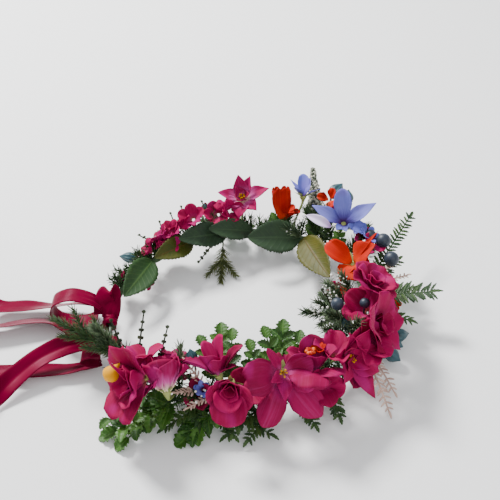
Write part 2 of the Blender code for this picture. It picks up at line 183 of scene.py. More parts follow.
class Pile:
    """Gathers grids and rods, and turns them into one smooth mesh."""

    def __init__(self):
        self.points = []
        self.faces = []
        self.chart = []

    def grid(self, places, charts, closed=False):
        """Rows of points, joined by four-sided faces. A closed grid joins each row's ends."""
        rows, columns = len(places), len(places[0])
        first = len(self.points)
        for row, row_charts in zip(places, charts):
            self.points.extend(row)
            self.chart.extend(row_charts)
        across = columns if closed else columns - 1
        for j in range(rows - 1):
            for k in range(across):
                a = first + j * columns + k
                b = first + j * columns + (k + 1) % columns
                self.faces.append((a, b, b + columns, a + columns))
        return first

    def rod(self, line, radii, sides=6, tone=0.5, ribs=0.0, rib_count=6, capped=True):
        """A round rod along a line, with its own radius at each point and ribs along it."""
        ahead = Vector(line[1]) - Vector(line[0])
        side = ahead.cross(UP) if abs(ahead.normalized().z) < 0.95 else ahead.cross(Vector((1, 0, 0)))
        places, charts = [], []
        for k, (place, radius) in enumerate(zip(line, radii)):
            ahead = (Vector(line[min(k + 1, len(line) - 1)]) - Vector(line[max(k - 1, 0)])).normalized()
            side = (side - ahead * side.dot(ahead)).normalized()
            other = ahead.cross(side)
            row, row_charts = [], []
            for j in range(sides):
                turn = 2 * pi * j / sides
                reach = radius * (1 + ribs * cos(rib_count * turn))
                row.append(Vector(place) + side * (reach * cos(turn)) + other * (reach * sin(turn)))
                row_charts.append((cos(turn), k / (len(line) - 1), tone))
            places.append(row)
            charts.append(row_charts)
        first = self.grid(places, charts, closed=True)
        if capped:
            last = first + (len(line) - 1) * sides
            self.faces.append(tuple(range(first + sides - 1, first - 1, -1)))
            self.faces.append(tuple(range(last, last + sides)))

    def bead(self, centre, radius, tone=0.5, sides=6, rows=4):
        """A small ball."""
        turns = [pi * (k + 0.02) / (rows + 0.04) for k in range(rows + 1)]
        line = [Vector(centre) + UP * (-radius * cos(t)) for t in turns]
        self.rod(line, [radius * max(sin(t), 0.05) for t in turns], sides, tone)

    def finish(self, name, finish, body, slot, replaces=(), thick=0.0):
        """Make the piece, clear of the table, say what it rides on and hide the parts it replaces. The
        slot, what it stands for, is not used.
        """
        mesh = bpy.data.meshes.new(name)
        above_table = [(p.x, p.y, max(p.z, TABLE_GAP)) for p in self.points]
        mesh.from_pydata(above_table, [], self.faces)
        chart = mesh.attributes.new("chart", "FLOAT_VECTOR", "POINT")
        chart.data.foreach_set("vector", np.array(self.chart, np.float32).ravel())
        mesh.materials.append(finish.material)
        mesh.shade_smooth()
        piece = bpy.data.objects.new(name, mesh)
        bpy.context.collection.objects.link(piece)
        if thick:
            cloth = piece.modifiers.new("cloth", "SOLIDIFY")
            cloth.thickness = thick
            cloth.offset = 0.0
        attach(piece, body)
        if replaces:
            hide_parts(*replaces)
        return piece


def chart_of(finish):
    """How far across, how far along, and the piece's own shade, as three signals."""
    return finish.split(finish.node("ShaderNodeAttribute", {"attribute_name": "chart"}, out="Vector"))


def smooth_line(points, steps):
    """A Catmull-Rom curve through the points, with this many steps between each two."""
    ends = [2 * points[0] - points[1], *points, 2 * points[-1] - points[-2]]
    line = []
    for a, b, c, d in zip(ends, ends[1:], ends[2:], ends[3:]):
        for k in range(steps):
            t = k / steps
            line.append(
                0.5 * (2 * b + (c - a) * t + (2 * a - 5 * b + 4 * c - d) * t**2)
                + 0.5 * (3 * b - a - 3 * c + d) * t**3
            )
    return [*line, points[-1].copy()]


print("mesh helpers ready")

# %% [markdown]
# ## Satin
# Satin is woven so that long threads float on one face. They lie along the ribbon and catch the light
# in a band, while the back is duller. Colour stays deep, with painted shade and light along the folds, and
# the gloss
# does the rest: a low roughness, some anisotropy, a fine ripple of threads along the ribbon and a firm edge
# where the weft turns.

# %% Satin finish
satin = Finish("satin", Specular_IOR_Level=0.09, Specular_Tint=(1.0, 0.20, 0.40, 1.0), Anisotropic=0.5)
across, along, tone = chart_of(satin)
threads = satin.noise(satin.vector(across * 60.0, along * 6.0, tone * 9.0), 1.0, 2.0)
folds_and_painted_shade = satin.noise(satin.vector(across * 1.3, along * 9.0, tone * 5.0), 1.0, 1.0)
edge = across.size().between(0.90, 0.98)
# Painted shade and light: the fold noise picks the darker crimson in the folds and the lighter one on their
# crests.
deep = satin.mix(folds_and_painted_shade, (0.085, 0.000, 0.012), (0.175, 0.000, 0.026))
satin.set("Base Color", satin.mix(edge * 0.6, deep, (0.075, 0.000, 0.011)))
satin.set("Roughness", 0.28 + threads * 0.12 + edge * 0.15)
satin.bump(threads * 0.4 + folds_and_painted_shade * 0.6 + edge * 0.6, 0.25, 0.0004)
print("satin:", len(satin.tree.nodes), "nodes")

# %% [markdown]
# ## Ribbons
# A ribbon is a strip with a route and a lean. It could be a curve with a flat bevel, but a
# bevelled curve twists where it likes. A grid of points with the direction of its width stated at each
# stop keeps the fold where a hand put it. The tails' routes are the ones that the structure holds.

# %% Ribbon routes, in metres, with the lean in degrees: 0 lies flat and 90 stands on its edge
RIBBON_WIDTH = 0.015
RIBBON_THICK = 0.0006
TAILS = {
    "ribbon_a_tail_1": [
        ((-0.098, 0.0025, 0.018), 10),
        ((-0.107, 0.007, 0.014), -20),
        ((-0.119, 0.0095, 0.011), -36),
        ((-0.136, 0.009, 0.009), -33),
        ((-0.156, 0.0095, 0.0085), -12),
        ((-0.176, 0.009, 0.008), -5),
        ((-0.190, 0.013, 0.008), 60),
        ((-0.202, 0.023, 0.008), 85),
        ((-0.209, 0.038, 0.008), 90),
        ((-0.212, 0.055, 0.008), 90),
        ((-0.212, 0.072, 0.008), 90),
        ((-0.210, 0.089, 0.008), 90),
        ((-0.208, 0.105, 0.008), 90),
    ],
    "ribbon_a_tail_2": [
        ((-0.097, -0.019, 0.011), 10),
        ((-0.107, -0.015, 0.005), 5),
        ((-0.119, -0.010, 0.0035), -8),
        ((-0.134, -0.004, 0.006), -26),
        ((-0.152, -0.006, 0.008), -30),
        ((-0.172, -0.011, 0.008), -34),
        ((-0.190, -0.014, 0.008), -60),
        ((-0.207, -0.011, 0.008), -88),
        ((-0.221, -0.001, 0.008), -90),
        ((-0.230, 0.014, 0.008), -90),
        ((-0.234, 0.032, 0.008), -90),
        ((-0.232, 0.050, 0.008), -90),
    ],
    "ribbon_b_tail_1": [
        ((-0.096, -0.031, 0.016), 50),
        ((-0.107, -0.032, 0.015), 45),
        ((-0.120, -0.0375, 0.0155), 30),
        ((-0.136, -0.048, 0.014), 12),
        ((-0.150, -0.061, 0.010), 20),
        ((-0.161, -0.076, 0.008), 50),
        ((-0.172, -0.092, 0.008), 85),
        ((-0.186, -0.106, 0.008), 90),
        ((-0.204, -0.114, 0.008), 90),
        ((-0.222, -0.112, 0.008), 90),
        ((-0.236, -0.101, 0.008), 90),
        ((-0.242, -0.084, 0.008), 90),
    ],
    "ribbon_b_tail_2": [
        ((-0.095, -0.043, 0.007), 10),
        ((-0.105, -0.046, 0.0045), -20),
        ((-0.117, -0.0485, 0.004), -20),
        ((-0.131, -0.0495, 0.004), -12),
        ((-0.148, -0.051, 0.0045), -8),
        ((-0.166, -0.053, 0.005), 0),
        ((-0.184, -0.056, 0.006), 60),
        ((-0.201, -0.060, 0.008), 90),
        ((-0.217, -0.060, 0.008), 90),
        ((-0.232, -0.055, 0.008), 90),
        ((-0.245, -0.046, 0.008), 90),
    ],
}
ACROSS_RIBBON = np.linspace(-1, 1, 11)
ROUTE_STEPS = 8
SATIN_CLOTH = 0.0004
DEEPLY_CREASED = "ribbon_b_tail_1"
print("tails:", ", ".join(TAILS))


# %% A strip of satin along a route
def strip(pile, line, widths, tone, gather=0.0, cut=0.0, crease=0.0):
    """Ribbon along a line, with the vector of its half width at each point. Gathered at its start."""
    places, charts = [], []
    count = len(line) - 1
    for k, (place, half) in enumerate(zip(line, widths)):
        ahead = (line[min(k + 1, count)] - line[max(k - 1, 0)]).normalized()
        out = ahead.cross(half).normalized()
        pinch = gather * max(0.0, 1 - k / (0.22 * count)) ** 1.5
        row, row_charts = [], []
        for a in ACROSS_RIBBON:
            pleat = half.length * (pinch * 0.45 * cos(3 * pi * a) + crease * (0.5 - abs(a)))
            slant = ahead * (cut * a * half.length) if k == count else Vector()
            row.append(place + half * (a * (1 - 0.55 * pinch)) + out * pleat + slant)
            row_charts.append((a, k / count, tone))
        places.append(row)
        charts.append(row_charts)
    pile.grid(places, charts)


def tail_route(rows):
    """A tail's line, and the half width that its lean gives at each point."""
    line = smooth_line([Vector(point) for point, _ in rows], ROUTE_STEPS)
    leans = [v.x for v in smooth_line([Vector((lean, 0)) for _, lean in rows], ROUTE_STEPS)]
    halves = []
    for k, place in enumerate(line):
        lean = radians(leans[k])
        place.z = max(place.z, 0.5 * RIBBON_WIDTH * abs(sin(lean)) + RIBBON_THICK)
        ahead = line[min(k + 1, len(line) - 1)] - line[max(k - 1, 0)]
        side = ahead.cross(UP).normalized()
        halves.append((side * cos(lean) + UP * sin(lean)) * (RIBBON_WIDTH / 2))
    return line, halves


def ribbon_of(name):
    """The body that a tail or a bow rides on: ribbon_a or ribbon_b."""
    return name[: len("ribbon_a")]


print("strip:", len(ACROSS_RIBBON), "points across")

# %% [markdown]
# ## Tails
# Each tail is one cord: it keeps its length, starts at the knot and ends in a bare cut. A crease runs
# along it, because a ribbon that was pressed on its reel remembers the fold.

# %% The four tails
for number, (name, rows) in enumerate(TAILS.items()):
    line, halves = tail_route(rows)
    crease = 0.35 if name == DEEPLY_CREASED else 0.08
    pile = Pile()
    strip(pile, line, halves, 0.2 + 0.2 * number, gather=0.5, cut=0.6, crease=crease)
    tail = pile.finish(
        f"satin_{name}", satin, ribbon_of(name), "satin_ribbon", [name], thick=SATIN_CLOTH
    )
    length = sum((b - a).length for a, b in zip(line, line[1:]))
    print(name, "is", round(length, 3), "m long")

# %% [markdown]
# ## Bows
# A bow's loop stands up by its own stiffness. A cloth simulation could find its shape, but a loop that
# is held at one end only sags flat in it. So its line is stated like a tail's, with the direction of
# the ribbon's width at each point, and satin fills it in.

# %% Bows: points on each loop, and the direction of the width there
BOWS = {
    "ribbon_a_bow": [
        ((-0.0965, -0.010, 0.027), (0, 1, 0)),
        ((-0.104, -0.010, 0.034), (0, 1, 0)),
        ((-0.117, -0.010, 0.038), (0, 1, 0)),
        ((-0.129, -0.010, 0.033), (0, 1, 0)),
        ((-0.132, -0.010, 0.024), (0, 1, 0)),
        ((-0.127, -0.010, 0.015), (0, 1, 0)),
        ((-0.116, -0.010, 0.0115), (0, 1, 0)),
        ((-0.106, -0.010, 0.014), (0, 1, 0)),
        ((-0.0995, -0.010, 0.020), (0, 1, 0)),
    ],
    "ribbon_a_fold": [
        ((-0.091, -0.015, 0.020), (1, 0, 0)),
        ((-0.090, -0.011, 0.025), (1, 0, 0)),
        ((-0.090, -0.005, 0.031), (1, 0, 0)),
        ((-0.091, -0.002, 0.0335), (1, 0, 0)),
        ((-0.0935, -0.004, 0.033), (1, 0, 0)),
        ((-0.0955, -0.009, 0.028), (1, 0.3, 0)),
        ((-0.0955, -0.013, 0.022), (1, 0.3, 0)),
    ],
    "ribbon_b_bow": [
        ((-0.094, -0.046, 0.0185), (0, 1, 0)),
        ((-0.102, -0.046, 0.0185), (0, 1, 0)),
        ((-0.107, -0.046, 0.0150), (0, 1, 0)),
        ((-0.103, -0.046, 0.011), (0, 1, 0)),
        ((-0.095, -0.046, 0.011), (0, 1, 0)),
    ],
}
BOW_WIDTH = 0.0135

for name, rows in BOWS.items():
    line = smooth_line([Vector(point) for point, _ in rows], ROUTE_STEPS)
    wide = smooth_line([Vector(direction) for _, direction in rows], ROUTE_STEPS)
    halves = []
    for k in range(len(line)):
        ahead = (line[min(k + 1, len(line) - 1)] - line[max(k - 1, 0)]).normalized()
        halves.append((wide[k] - ahead * wide[k].dot(ahead)).normalized() * (BOW_WIDTH / 2))
    pile = Pile()
    strip(pile, line, halves, 0.9, gather=0.3)
    held = [name] if name in frame["nodes"] else []
    pile.finish(f"satin_{name}", satin, ribbon_of(name), "satin_ribbon", held, thick=SATIN_CLOTH)
print("bows:", ", ".join(BOWS))

# %% [markdown]
# ## Knots
# A knot is three turns of ribbon wound round the wire and pulled tight. Each turn swells in its
# middle, and they lie over one another at a slight slant. The joint says where the wire is.

# %% Knots
KNOT_WRAPS = 3
KNOT_STEPS = 32
WRAP_PITCH = 0.0026

for joint in frame["joints"]:
    name = joint["child"]
    middle, axis = Vector(joint["pos_m"]), Vector(joint["axis"]).normalized()
    side = axis.cross(UP).normalized()
    pile = Pile()
    for wrap in range(KNOT_WRAPS):
        places, charts = [], []
        for k in range(KNOT_STEPS + 1):
            turn = 2 * pi * k / KNOT_STEPS
            row, row_charts = [], []
            for a in ACROSS_RIBBON:
                swell = 0.0032 + 0.0018 * (1 - a * a) + 0.0004 * sin(5 * turn + 3 * a + wrap)
                shift = (wrap - 1) * WRAP_PITCH + 0.0022 * a + 0.0010 * sin(turn + 2 * wrap)
                out = side * cos(turn) + UP * sin(turn)
                row.append(middle + axis * shift + out * swell)
                row_charts.append((a, k / KNOT_STEPS, 0.3 * wrap))
            places.append(row)
            charts.append(row_charts)
        pile.grid(places, charts)
    pile.finish(f"satin_{name}_knot", satin, name, "satin_ribbon", [f"{name}_knot"], thick=SATIN_CLOTH)

# %% [markdown]
# ## Places from the structure
# Each bloom's petals stand in a cup in the structure, at the end of a stem. Its points say where the
# cup's base is and which way it faces, so a bloom needs no position of its own. A bloom that faces
# along +Z has +X on its right: the turns of its petals are counted from there, anticlockwise.

# %% Where a node is and which way it lies
RING = np.array([v.co for v in frame["nodes"]["frame_wire"].data.vertices])


def points_of(node):
    return np.array([v.co for v in frame["nodes"][node].data.vertices])


def nearest_on_ring(place):
    return Vector(RING[np.argmin(((RING - np.array(place)) ** 2).sum(1))])


def aimed(origin, axis):
    """The matrix whose +Z lies along an axis, and whose +X is as near to the world's as it can be."""
    axis = axis.normalized()
    right = (Vector((1, 0, 0)) - axis * axis.x).normalized()
    rows = Matrix((right, axis.cross(right), axis)).transposed()
    return Matrix.Translation(origin) @ rows.to_4x4()


def bloom_place(name):
    """The matrix of a bloom's base, from its cup and, where it has one, its stem."""
    cup = points_of(f"{name}_petals")
    middle = Vector(cup.mean(0))
    axis = middle - nearest_on_ring(middle)
    if f"{name}_stem" in frame["nodes"]:
        stem = points_of(f"{name}_stem")
        away = middle - Vector(stem[np.argmin(((stem - cup.mean(0)) ** 2).sum(1))])
        flattest = Vector(np.linalg.svd(cup - cup.mean(0))[2][2])
        axis = flattest if flattest.dot(away) > 0 else -flattest
    axis.normalize()
    height = cup @ np.array(axis)
    base = middle + axis * (np.percentile(height, 12) - middle.dot(axis))
    return aimed(base, axis)


def ends_of(node):
    """A long node's root, beside the ring, its tip, and the direction across its flat."""
    cloud = points_of(node)
    middle = cloud.mean(0)
    _, _, axes = np.linalg.svd(cloud - middle)
    reach = (cloud - middle) @ axes[0]
    tips = [Vector(middle + axes[0] * reach.min()), Vector(middle + axes[0] * reach.max())]
    tips.sort(key=lambda tip: (tip - nearest_on_ring(tip)).length)
    normal = Vector(axes[2])
    return tips[0], tips[1], normal if normal.z > 0 else -normal


print("ring points:", len(RING))

# %% [markdown]
# ## Petal cloth
# Petals are cut from stiffened cloth, dyed while wet and pressed in a hot mould. So the colour runs
# from a pale throat to a deep body, the pressed veins fan out from the root, and the cloth's own
# grain shows in close view. One function makes each colour's finish.


# %% Petal finishes
# The colour of the painted highlight on the magenta petals.
WARM_PAINTED_HIGHLIGHT = (0.36, 0.006, 0.15)


def petal_finish(name, throat, blush, body, rim, throat_end=0.22, vein=0.25, painted_highlight=WARM_PAINTED_HIGHLIGHT):
    """Dyed cloth: the throat runs into the blush and then the body, with darker patches and patches of
    painted highlight.
    """
    cloth = Finish(name, Specular_IOR_Level=0.12)
    across, along, tone = chart_of(cloth)
    fan = cloth.noise(cloth.vector(across * 9.0, along * 0.9, tone * 31.0), 1.0, 3.0)
    patch = cloth.noise(cloth.place(), 95.0, 2.0)
    grain = cloth.noise(cloth.place(), 1900.0, 2.0)
    stage_one = (along + fan * 0.25 - 0.12).between(0.02, throat_end)
    stage_two = (along + fan * 0.35 - 0.17).between(throat_end * 0.8, throat_end + 0.30)
    tint = cloth.mix(stage_one, throat, blush)
    tint = cloth.mix(stage_two, tint, body)
    shade = (patch * 0.8 + tone * 0.9 - 0.5).between(0.1, 0.9)
    tint = cloth.mix(shade * stage_two * 0.75, tint, rim)
    # Painted highlight: pale patches on each petal's body, in the highlight colour, stand in for light
    # catching the cloth.
    painted_sheen_mask = cloth.noise(cloth.place(), 60.0, 1.0).between(0.52, 0.72)
    tint = cloth.mix(painted_sheen_mask * stage_two * 0.55, tint, painted_highlight)
    streaks = fan.between(0.45, 0.75)
    tint = cloth.mix(streaks * vein, tint, blush)
    cloth.set("Base Color", tint)
    cloth.set("Roughness", 0.60 + grain * 0.2)
    cloth.bump(fan * 0.7 + grain * 0.25, 0.35, 0.0006)
    return cloth


magenta = petal_finish(
    "magenta_cloth",
    throat=(0.38, 0.12, 0.10),
    blush=(0.36, 0.012, 0.115),
    body=(0.30, 0.000, 0.058),
    rim=(0.17, 0.000, 0.024),
)
pale_magenta = petal_finish(
    "pale_magenta_cloth",
    throat=(0.75, 0.62, 0.42),
    blush=(0.46, 0.06, 0.24),
    body=(0.27, 0.000, 0.060),
    rim=(0.15, 0.000, 0.022),
    throat_end=0.10,
    vein=0.16,
)
# Its long pale throat is partly the cloth's own pale centre and partly a painted highlight in the middle of
# bloom_11.
bud_magenta = petal_finish(
    "bud_magenta_cloth",
    throat=(0.80, 0.72, 0.48),
    blush=(0.50, 0.08, 0.28),
    body=(0.28, 0.000, 0.062),
    rim=(0.16, 0.000, 0.024),
    throat_end=0.34,
    vein=0.18,
)
dark_magenta = petal_finish(
    "dark_magenta_cloth",
    throat=(0.12, 0.004, 0.03),
    blush=(0.26, 0.004, 0.06),
    body=(0.24, 0.002, 0.045),
    rim=(0.12, 0.001, 0.02),
)
blue = petal_finish(
    "blue_cloth",
    throat=(0.05, 0.005, 0.07),
    blush=(0.07, 0.05, 0.24),
    body=(0.11, 0.13, 0.46),
    rim=(0.20, 0.20, 0.56),
    throat_end=0.20,
    vein=0.2,
    painted_highlight=(0.16, 0.12, 0.42),
)
lilac = petal_finish(
    "lilac_cloth",
    throat=(0.35, 0.20, 0.45),
    blush=(0.60, 0.45, 0.72),
    body=(0.68, 0.60, 0.80),
    rim=(0.72, 0.68, 0.85),
    throat_end=0.2,
    vein=0.3,
    painted_highlight=(0.70, 0.62, 0.82),
)
orange = petal_finish(
    "orange_cloth",
    throat=(0.36, 0.05, 0.004),
    blush=(0.60, 0.035, 0.003),
    body=(0.44, 0.010, 0.001),
    rim=(0.15, 0.001, 0.001),
    throat_end=0.15,
    vein=0.3,
    painted_highlight=(0.52, 0.030, 0.002),
)
print("petal finishes: four magentas, blue, lilac and orange")

# %% [markdown]
# ## One petal
# A petal could be sculpted, but then the next one starts from nothing. Here it is a grid with a
# midline that leaves the flower's axis at one angle and ends at another, a width, a cup across it,
# a ripple along its edge and a tip that is round, notched or pointed. Flowers differ in their rows.

# %% Petal shape
PETAL_ROWS = 13
PETAL_COLUMNS = 13
TIPS = {
    "round": lambda a: 0.58 + 0.42 * (1 - a * a) ** 0.5,
    "notch": lambda a: 0.60 + 0.40 * (1 - a * a) ** 0.5 - 0.13 * np.exp(-((a / 0.22) ** 2)),
    "point": lambda a: 0.40 + 0.60 * (1 - abs(a)) ** 0.8,
    "frill": lambda a: 0.62 + 0.38 * (1 - a**4) ** 0.5 - 0.05 * np.cos(9 * np.pi * a),
}


def petal(pile, place, turn, length, width, rise, fall, cup=0.2, wave=0.08, tip="round", seed=0, root=1.2):
    """One petal in a bloom's own frame, in mm. Rise and fall are its angles off the axis, in degrees."""
    draw = random.Random(seed)
    phase = [draw.uniform(0, 2 * pi) for _ in range(4)]
    across = np.linspace(-1, 1, PETAL_COLUMNS)[None, :]
    share = np.linspace(0, 1, PETAL_ROWS)[:, None]
    far = TIPS[tip](across * 0.999)
    along = share * far
    steps = np.linspace(0, 1, 41)
    angle = np.radians(rise + (fall - rise) * steps**1.1)
    out = root + np.concatenate([[0], np.cumsum(np.sin(angle[1:]))]) * length / 40
    up = np.concatenate([[0], np.cumsum(np.cos(angle[1:]))]) * length / 40
    narrow = 0.16 + 0.84 * np.sin(np.minimum(along / 0.66, 1) * pi / 2) ** 1.1
    side = 0.5 * width * across * narrow
    tilt = np.interp(along, steps, angle)
    lift = cup * 0.5 * width * (across * narrow) ** 2
    lift = lift + wave * width * along**1.5 * (
        np.sin(2.2 * pi * across + phase[0]) * 0.55
        + np.sin(5.0 * across + 3.0 * along + phase[1]) * 0.35
    )
    flutter = np.sin(9.0 * along + 7 * across + phase[2])
    lift = lift + wave * width * 0.8 * along**3 * np.abs(across) ** 1.5 * flutter
    reach = np.interp(along, steps, out) - lift * np.cos(tilt)
    height = np.interp(along, steps, up) + lift * np.sin(tilt)
    way = radians(turn)
    x = reach * cos(way) - side * sin(way)
    y = reach * sin(way) + side * cos(way)
    tone = draw.random()
    places = [
        [place @ Vector((x[j, k] * MM, y[j, k] * MM, height[j, k] * MM)) for k in range(PETAL_COLUMNS)]
        for j in range(PETAL_ROWS)
    ]
    charts = [
        [(float(across[0, k]), float(along[j, k]), tone) for k in range(PETAL_COLUMNS)]
        for j in range(PETAL_ROWS)
    ]
    pile.grid(places, charts)


def whorl(count, turn, length, width, rise, fall, cup, wave, tip):
    """Rows for a ring of like petals."""
    return [(turn + 360 * k / count, length, width, rise, fall, cup, wave, tip) for k in range(count)]


print("petal: a grid of", PETAL_ROWS, "by", PETAL_COLUMNS)

# %% [markdown]
# ## Blooms
# Each row is one petal: its turn, length, width, the two angles off the axis, cup, ripple and tip.
# Big sweet-pea blooms have few broad petals that droop, carnations many frilled ones, and the
# star-shaped ones have pointed tips. The shift moves a bloom's heart within its cup, in mm.

# %% Petal rows, bloom by bloom
CARNATION = (
    whorl(7, 10, 13, 13, 50, 85, 0.15, 0.14, "frill")
    + whorl(6, 35, 12, 12, 25, 55, 0.25, 0.16, "frill")
    + whorl(4, 60, 11, 10, 5, 25, 0.4, 0.16, "frill")
)
BLOOMS = {
    "bloom_1": (magenta, (15, 3, 0), [
        (92, 30, 33, 30, 70, 0.15, 0.10, "notch"),
        (148, 13, 18, 35, 80, 0.2, 0.10, "round"),
        (265, 32, 36, 30, 80, 0.15, 0.10, "notch"),
        (208, 27, 28, 40, 86, 0.2, 0.12, "notch"),
        (325, 26, 26, 20, 65, 0.4, 0.12, "round"),
        (30, 28, 22, 15, 50, 0.5, 0.08, "point"),
        (66, 36, 14, 10, 45, 0.6, 0.06, "point"),
        (110, 18, 17, 5, 45, 0.8, 0.14, "round"),
        (235, 20, 20, 5, 50, 0.8, 0.14, "frill"),
        (350, 18, 17, 5, 40, 0.8, 0.14, "round"),
    ]),
    "bloom_2": (bud_magenta, (-2, 0, -4), [
        (270, 25, 27, 46, -6, 0.7, 0.05, "round"),
        (198, 24, 25, 48, 0, 0.65, 0.06, "round"),
        (342, 24, 25, 48, 0, 0.65, 0.06, "round"),
        (130, 25, 25, 44, 5, 0.6, 0.08, "frill"),
        (55, 25, 25, 44, 5, 0.6, 0.08, "frill"),
        (20, 20, 18, 40, 60, 0.4, 0.14, "frill"),
    ]),
    "bloom_3": (dark_magenta, (0, 0, 0), CARNATION),
    "bloom_4": (pale_magenta, (2, 0, -8), [
        (178, 24, 15, 40, 60, 0.5, 0.08, "round"),
        (228, 19, 16, 30, 22, 0.7, 0.05, "round"),
        (300, 17, 15, 35, 45, 0.5, 0.08, "round"),
        (5, 24, 18, 45, 62, 0.3, 0.08, "round"),
        (50, 26, 12, 20, 28, 0.5, 0.05, "round"),
        (118, 24, 10, 15, 22, 0.6, 0.05, "round"),
        (330, 16, 12, 50, 95, 0.3, 0.1, "point"),
    ]),
    "bloom_5": (magenta, (3, 13, 0), [
        (272, 26, 24, 30, 72, 0.25, 0.05, "round"),
        (322, 19, 20, 35, 75, 0.25, 0.06, "round"),
        (222, 18, 20, 35, 72, 0.25, 0.06, "round"),
        (160, 13, 14, 30, 66, 0.3, 0.08, "round"),
        (50, 13, 13, 20, 50, 0.4, 0.08, "round"),
        (105, 12, 12, 20, 55, 0.5, 0.08, "round"),
        (262, 19, 18, 10, 52, 0.5, 0.05, "round"),
        (325, 13, 14, 8, 38, 0.7, 0.07, "round"),
        (195, 12, 13, 6, 34, 0.8, 0.07, "round"),
        (85, 10, 10, 4, 28, 0.9, 0.08, "round"),
        (270, 11, 10, 2, 20, 1.0, 0.06, "round"),
    ]),
    "bloom_6": (pale_magenta, (2, 9, 0), [
        (186, 30, 24, 50, 90, 0.25, 0.09, "notch"),
        (129, 26, 6, 40, 62, 0.9, 0.02, "round"),
        (250, 37, 19, 50, 115, -0.5, 0.06, "round"),
        (25, 20, 17, 55, 78, 0.35, 0.08, "round"),
        (338, 24, 15, 30, 75, -0.4, 0.08, "round"),
        (311, 37, 22, 55, 112, -0.4, 0.08, "round"),
        (268, 20, 12, 30, 80, 0.5, 0.08, "point"),
        (205, 16, 10, 20, 60, 0.6, 0.08, "point"),
    ]),
    "bloom_7": (pale_magenta, (4, -2, -8), [
        (110, 24, 20, 15, 12, 0.3, 0.05, "round"),
        (262, 30, 27, 50, 128, -0.3, 0.07, "round"),
        (320, 24, 20, 50, 100, -0.2, 0.07, "round"),
        (20, 22, 18, 30, 50, 0.4, 0.06, "round"),
        (190, 22, 18, 30, 70, 0.4, 0.06, "round"),
        (250, 20, 18, 20, 60, 0.5, 0.07, "round"),
    ]),
    "bloom_8": (magenta, (-2, 5, 0), [
        (303, 33, 17, 55, 92, 0.3, 0.06, "point"),
        (335, 25, 20, 45, 85, 0.25, 0.08, "point"),
        (15, 24, 20, 45, 80, 0.25, 0.08, "point"),
        (62, 24, 19, 40, 78, 0.3, 0.08, "point"),
        (110, 20, 16, 40, 80, 0.3, 0.08, "point"),
        (170, 18, 14, 45, 85, 0.3, 0.08, "point"),
        (235, 20, 15, 45, 85, 0.3, 0.08, "point"),
        (40, 16, 14, 15, 50, 0.5, 0.08, "point"),
        (320, 17, 14, 15, 55, 0.5, 0.08, "point"),
    ]),
    "bloom_9": (magenta, (-4, 0, 0), [
        (112, 27, 27, 35, 70, 0.3, 0.08, "round"),
        (45, 24, 24, 40, 82, 0.25, 0.08, "notch"),
        (320, 24, 24, 40, 82, 0.25, 0.08, "point"),
        (255, 23, 24, 40, 80, 0.25, 0.08, "round"),
        (188, 32, 28, 35, 78, 0.25, 0.08, "round"),
        (70, 16, 17, 10, 40, 0.6, 0.08, "round"),
        (200, 16, 17, 10, 42, 0.6, 0.08, "round"),
        (320, 15, 16, 8, 35, 0.7, 0.08, "round"),
    ]),
    "bloom_10": (magenta, (-6, -4, 0), [
        *whorl(4, 30, 20, 21, 45, 86, 0.15, 0.07, "round"),
        *whorl(4, 78, 18, 19, 30, 68, 0.25, 0.07, "round"),
        *whorl(3, 10, 13, 13, 8, 35, 0.6, 0.08, "round"),
    ]),
    # The pale centre of this bloom is partly painted highlight, from its cloth's long throat.
    "bloom_11": (bud_magenta, (0, 2, 0), [
        (100, 21, 15, 20, 52, 0.5, 0.06, "point"),
        (62, 20, 12, 30, 58, 0.5, 0.06, "point"),
        (12, 23, 14, 50, 85, 0.35, 0.07, "point"),
        (170, 20, 13, 50, 86, 0.35, 0.07, "point"),
        (215, 20, 15, 50, 92, 0.3, 0.08, "point"),
        (262, 20, 16, 50, 98, 0.3, 0.08, "point"),
        (310, 18, 15, 50, 90, 0.3, 0.08, "point"),
        (135, 14, 12, 10, 38, 0.7, 0.08, "point"),
        (240, 13, 12, 12, 50, 0.6, 0.08, "point"),
        (350, 13, 11, 10, 40, 0.7, 0.08, "point"),
    ]),
    "bloom_12": (magenta, (2, 0, 0), CARNATION),
    "blue_flower_1": (blue, (0, -8, 0), [
        (88, 27, 14, 40, 58, 0.35, 0.03, "round"),
        (152, 27, 13, 55, 78, 0.35, 0.03, "point"),
        (24, 29, 14, 55, 82, 0.35, 0.03, "point"),
        (340, 18, 10, 60, 120, 0.35, 0.03, "round"),
        (225, 8, 7, 50, 75, 0.35, 0.03, "point"),
        (285, 8, 7, 50, 75, 0.35, 0.03, "point"),
    ]),
    "blue_flower_2": (blue, (0, -3, 0), [
        (95, 20, 10, 25, 25, 0.4, 0.03, "round"),
        (140, 18, 8, 40, 50, 0.4, 0.03, "point"),
        (60, 18, 8, 25, 30, 0.4, 0.03, "point"),
        (350, 14, 8, 45, 70, 0.35, 0.03, "point"),
        (230, 14, 8, 45, 75, 0.35, 0.03, "point"),
    ]),
    "orange_flower_1": (orange, (-1, 0, 0), [
        (138, 24, 15, 30, 72, 0.5, 0.06, "round"),
        (15, 24, 24, 40, 78, 0.3, 0.08, "point"),
        (320, 22, 20, 45, 85, 0.3, 0.08, "point"),
        (238, 17, 15, 45, 90, 0.5, 0.05, "point"),
        (285, 20, 20, 45, 85, 0.4, 0.06, "round"),
        (28, 31, 5, 50, 72, 0.8, 0.02, "point"),
    ]),
    "orange_flower_2": (orange, (7, 2, 5), [
        (268, 31, 15, 25, 4, 0.4, 0.03, "frill"),
        (200, 28, 12, 22, 4, 0.5, 0.04, "frill"),
        (350, 16, 14, 40, 78, 0.4, 0.05, "round"),
        (60, 28, 12, 22, 8, 0.5, 0.04, "frill"),
        (130, 28, 12, 22, 6, 0.5, 0.04, "frill"),
        (285, 20, 8, 110, 150, 0.3, 0.03, "point"),
    ]),
}
PETAL_CLOTH = 0.00035
print("blooms:", len(BLOOMS), "petals:", sum(len(rows) for _, _, rows in BLOOMS.values()))


# %% Make the blooms
def petal_slot(name):
    kind = name.split("_")[0]
    return "magenta_petal" if kind == "bloom" else f"{kind}_petal"


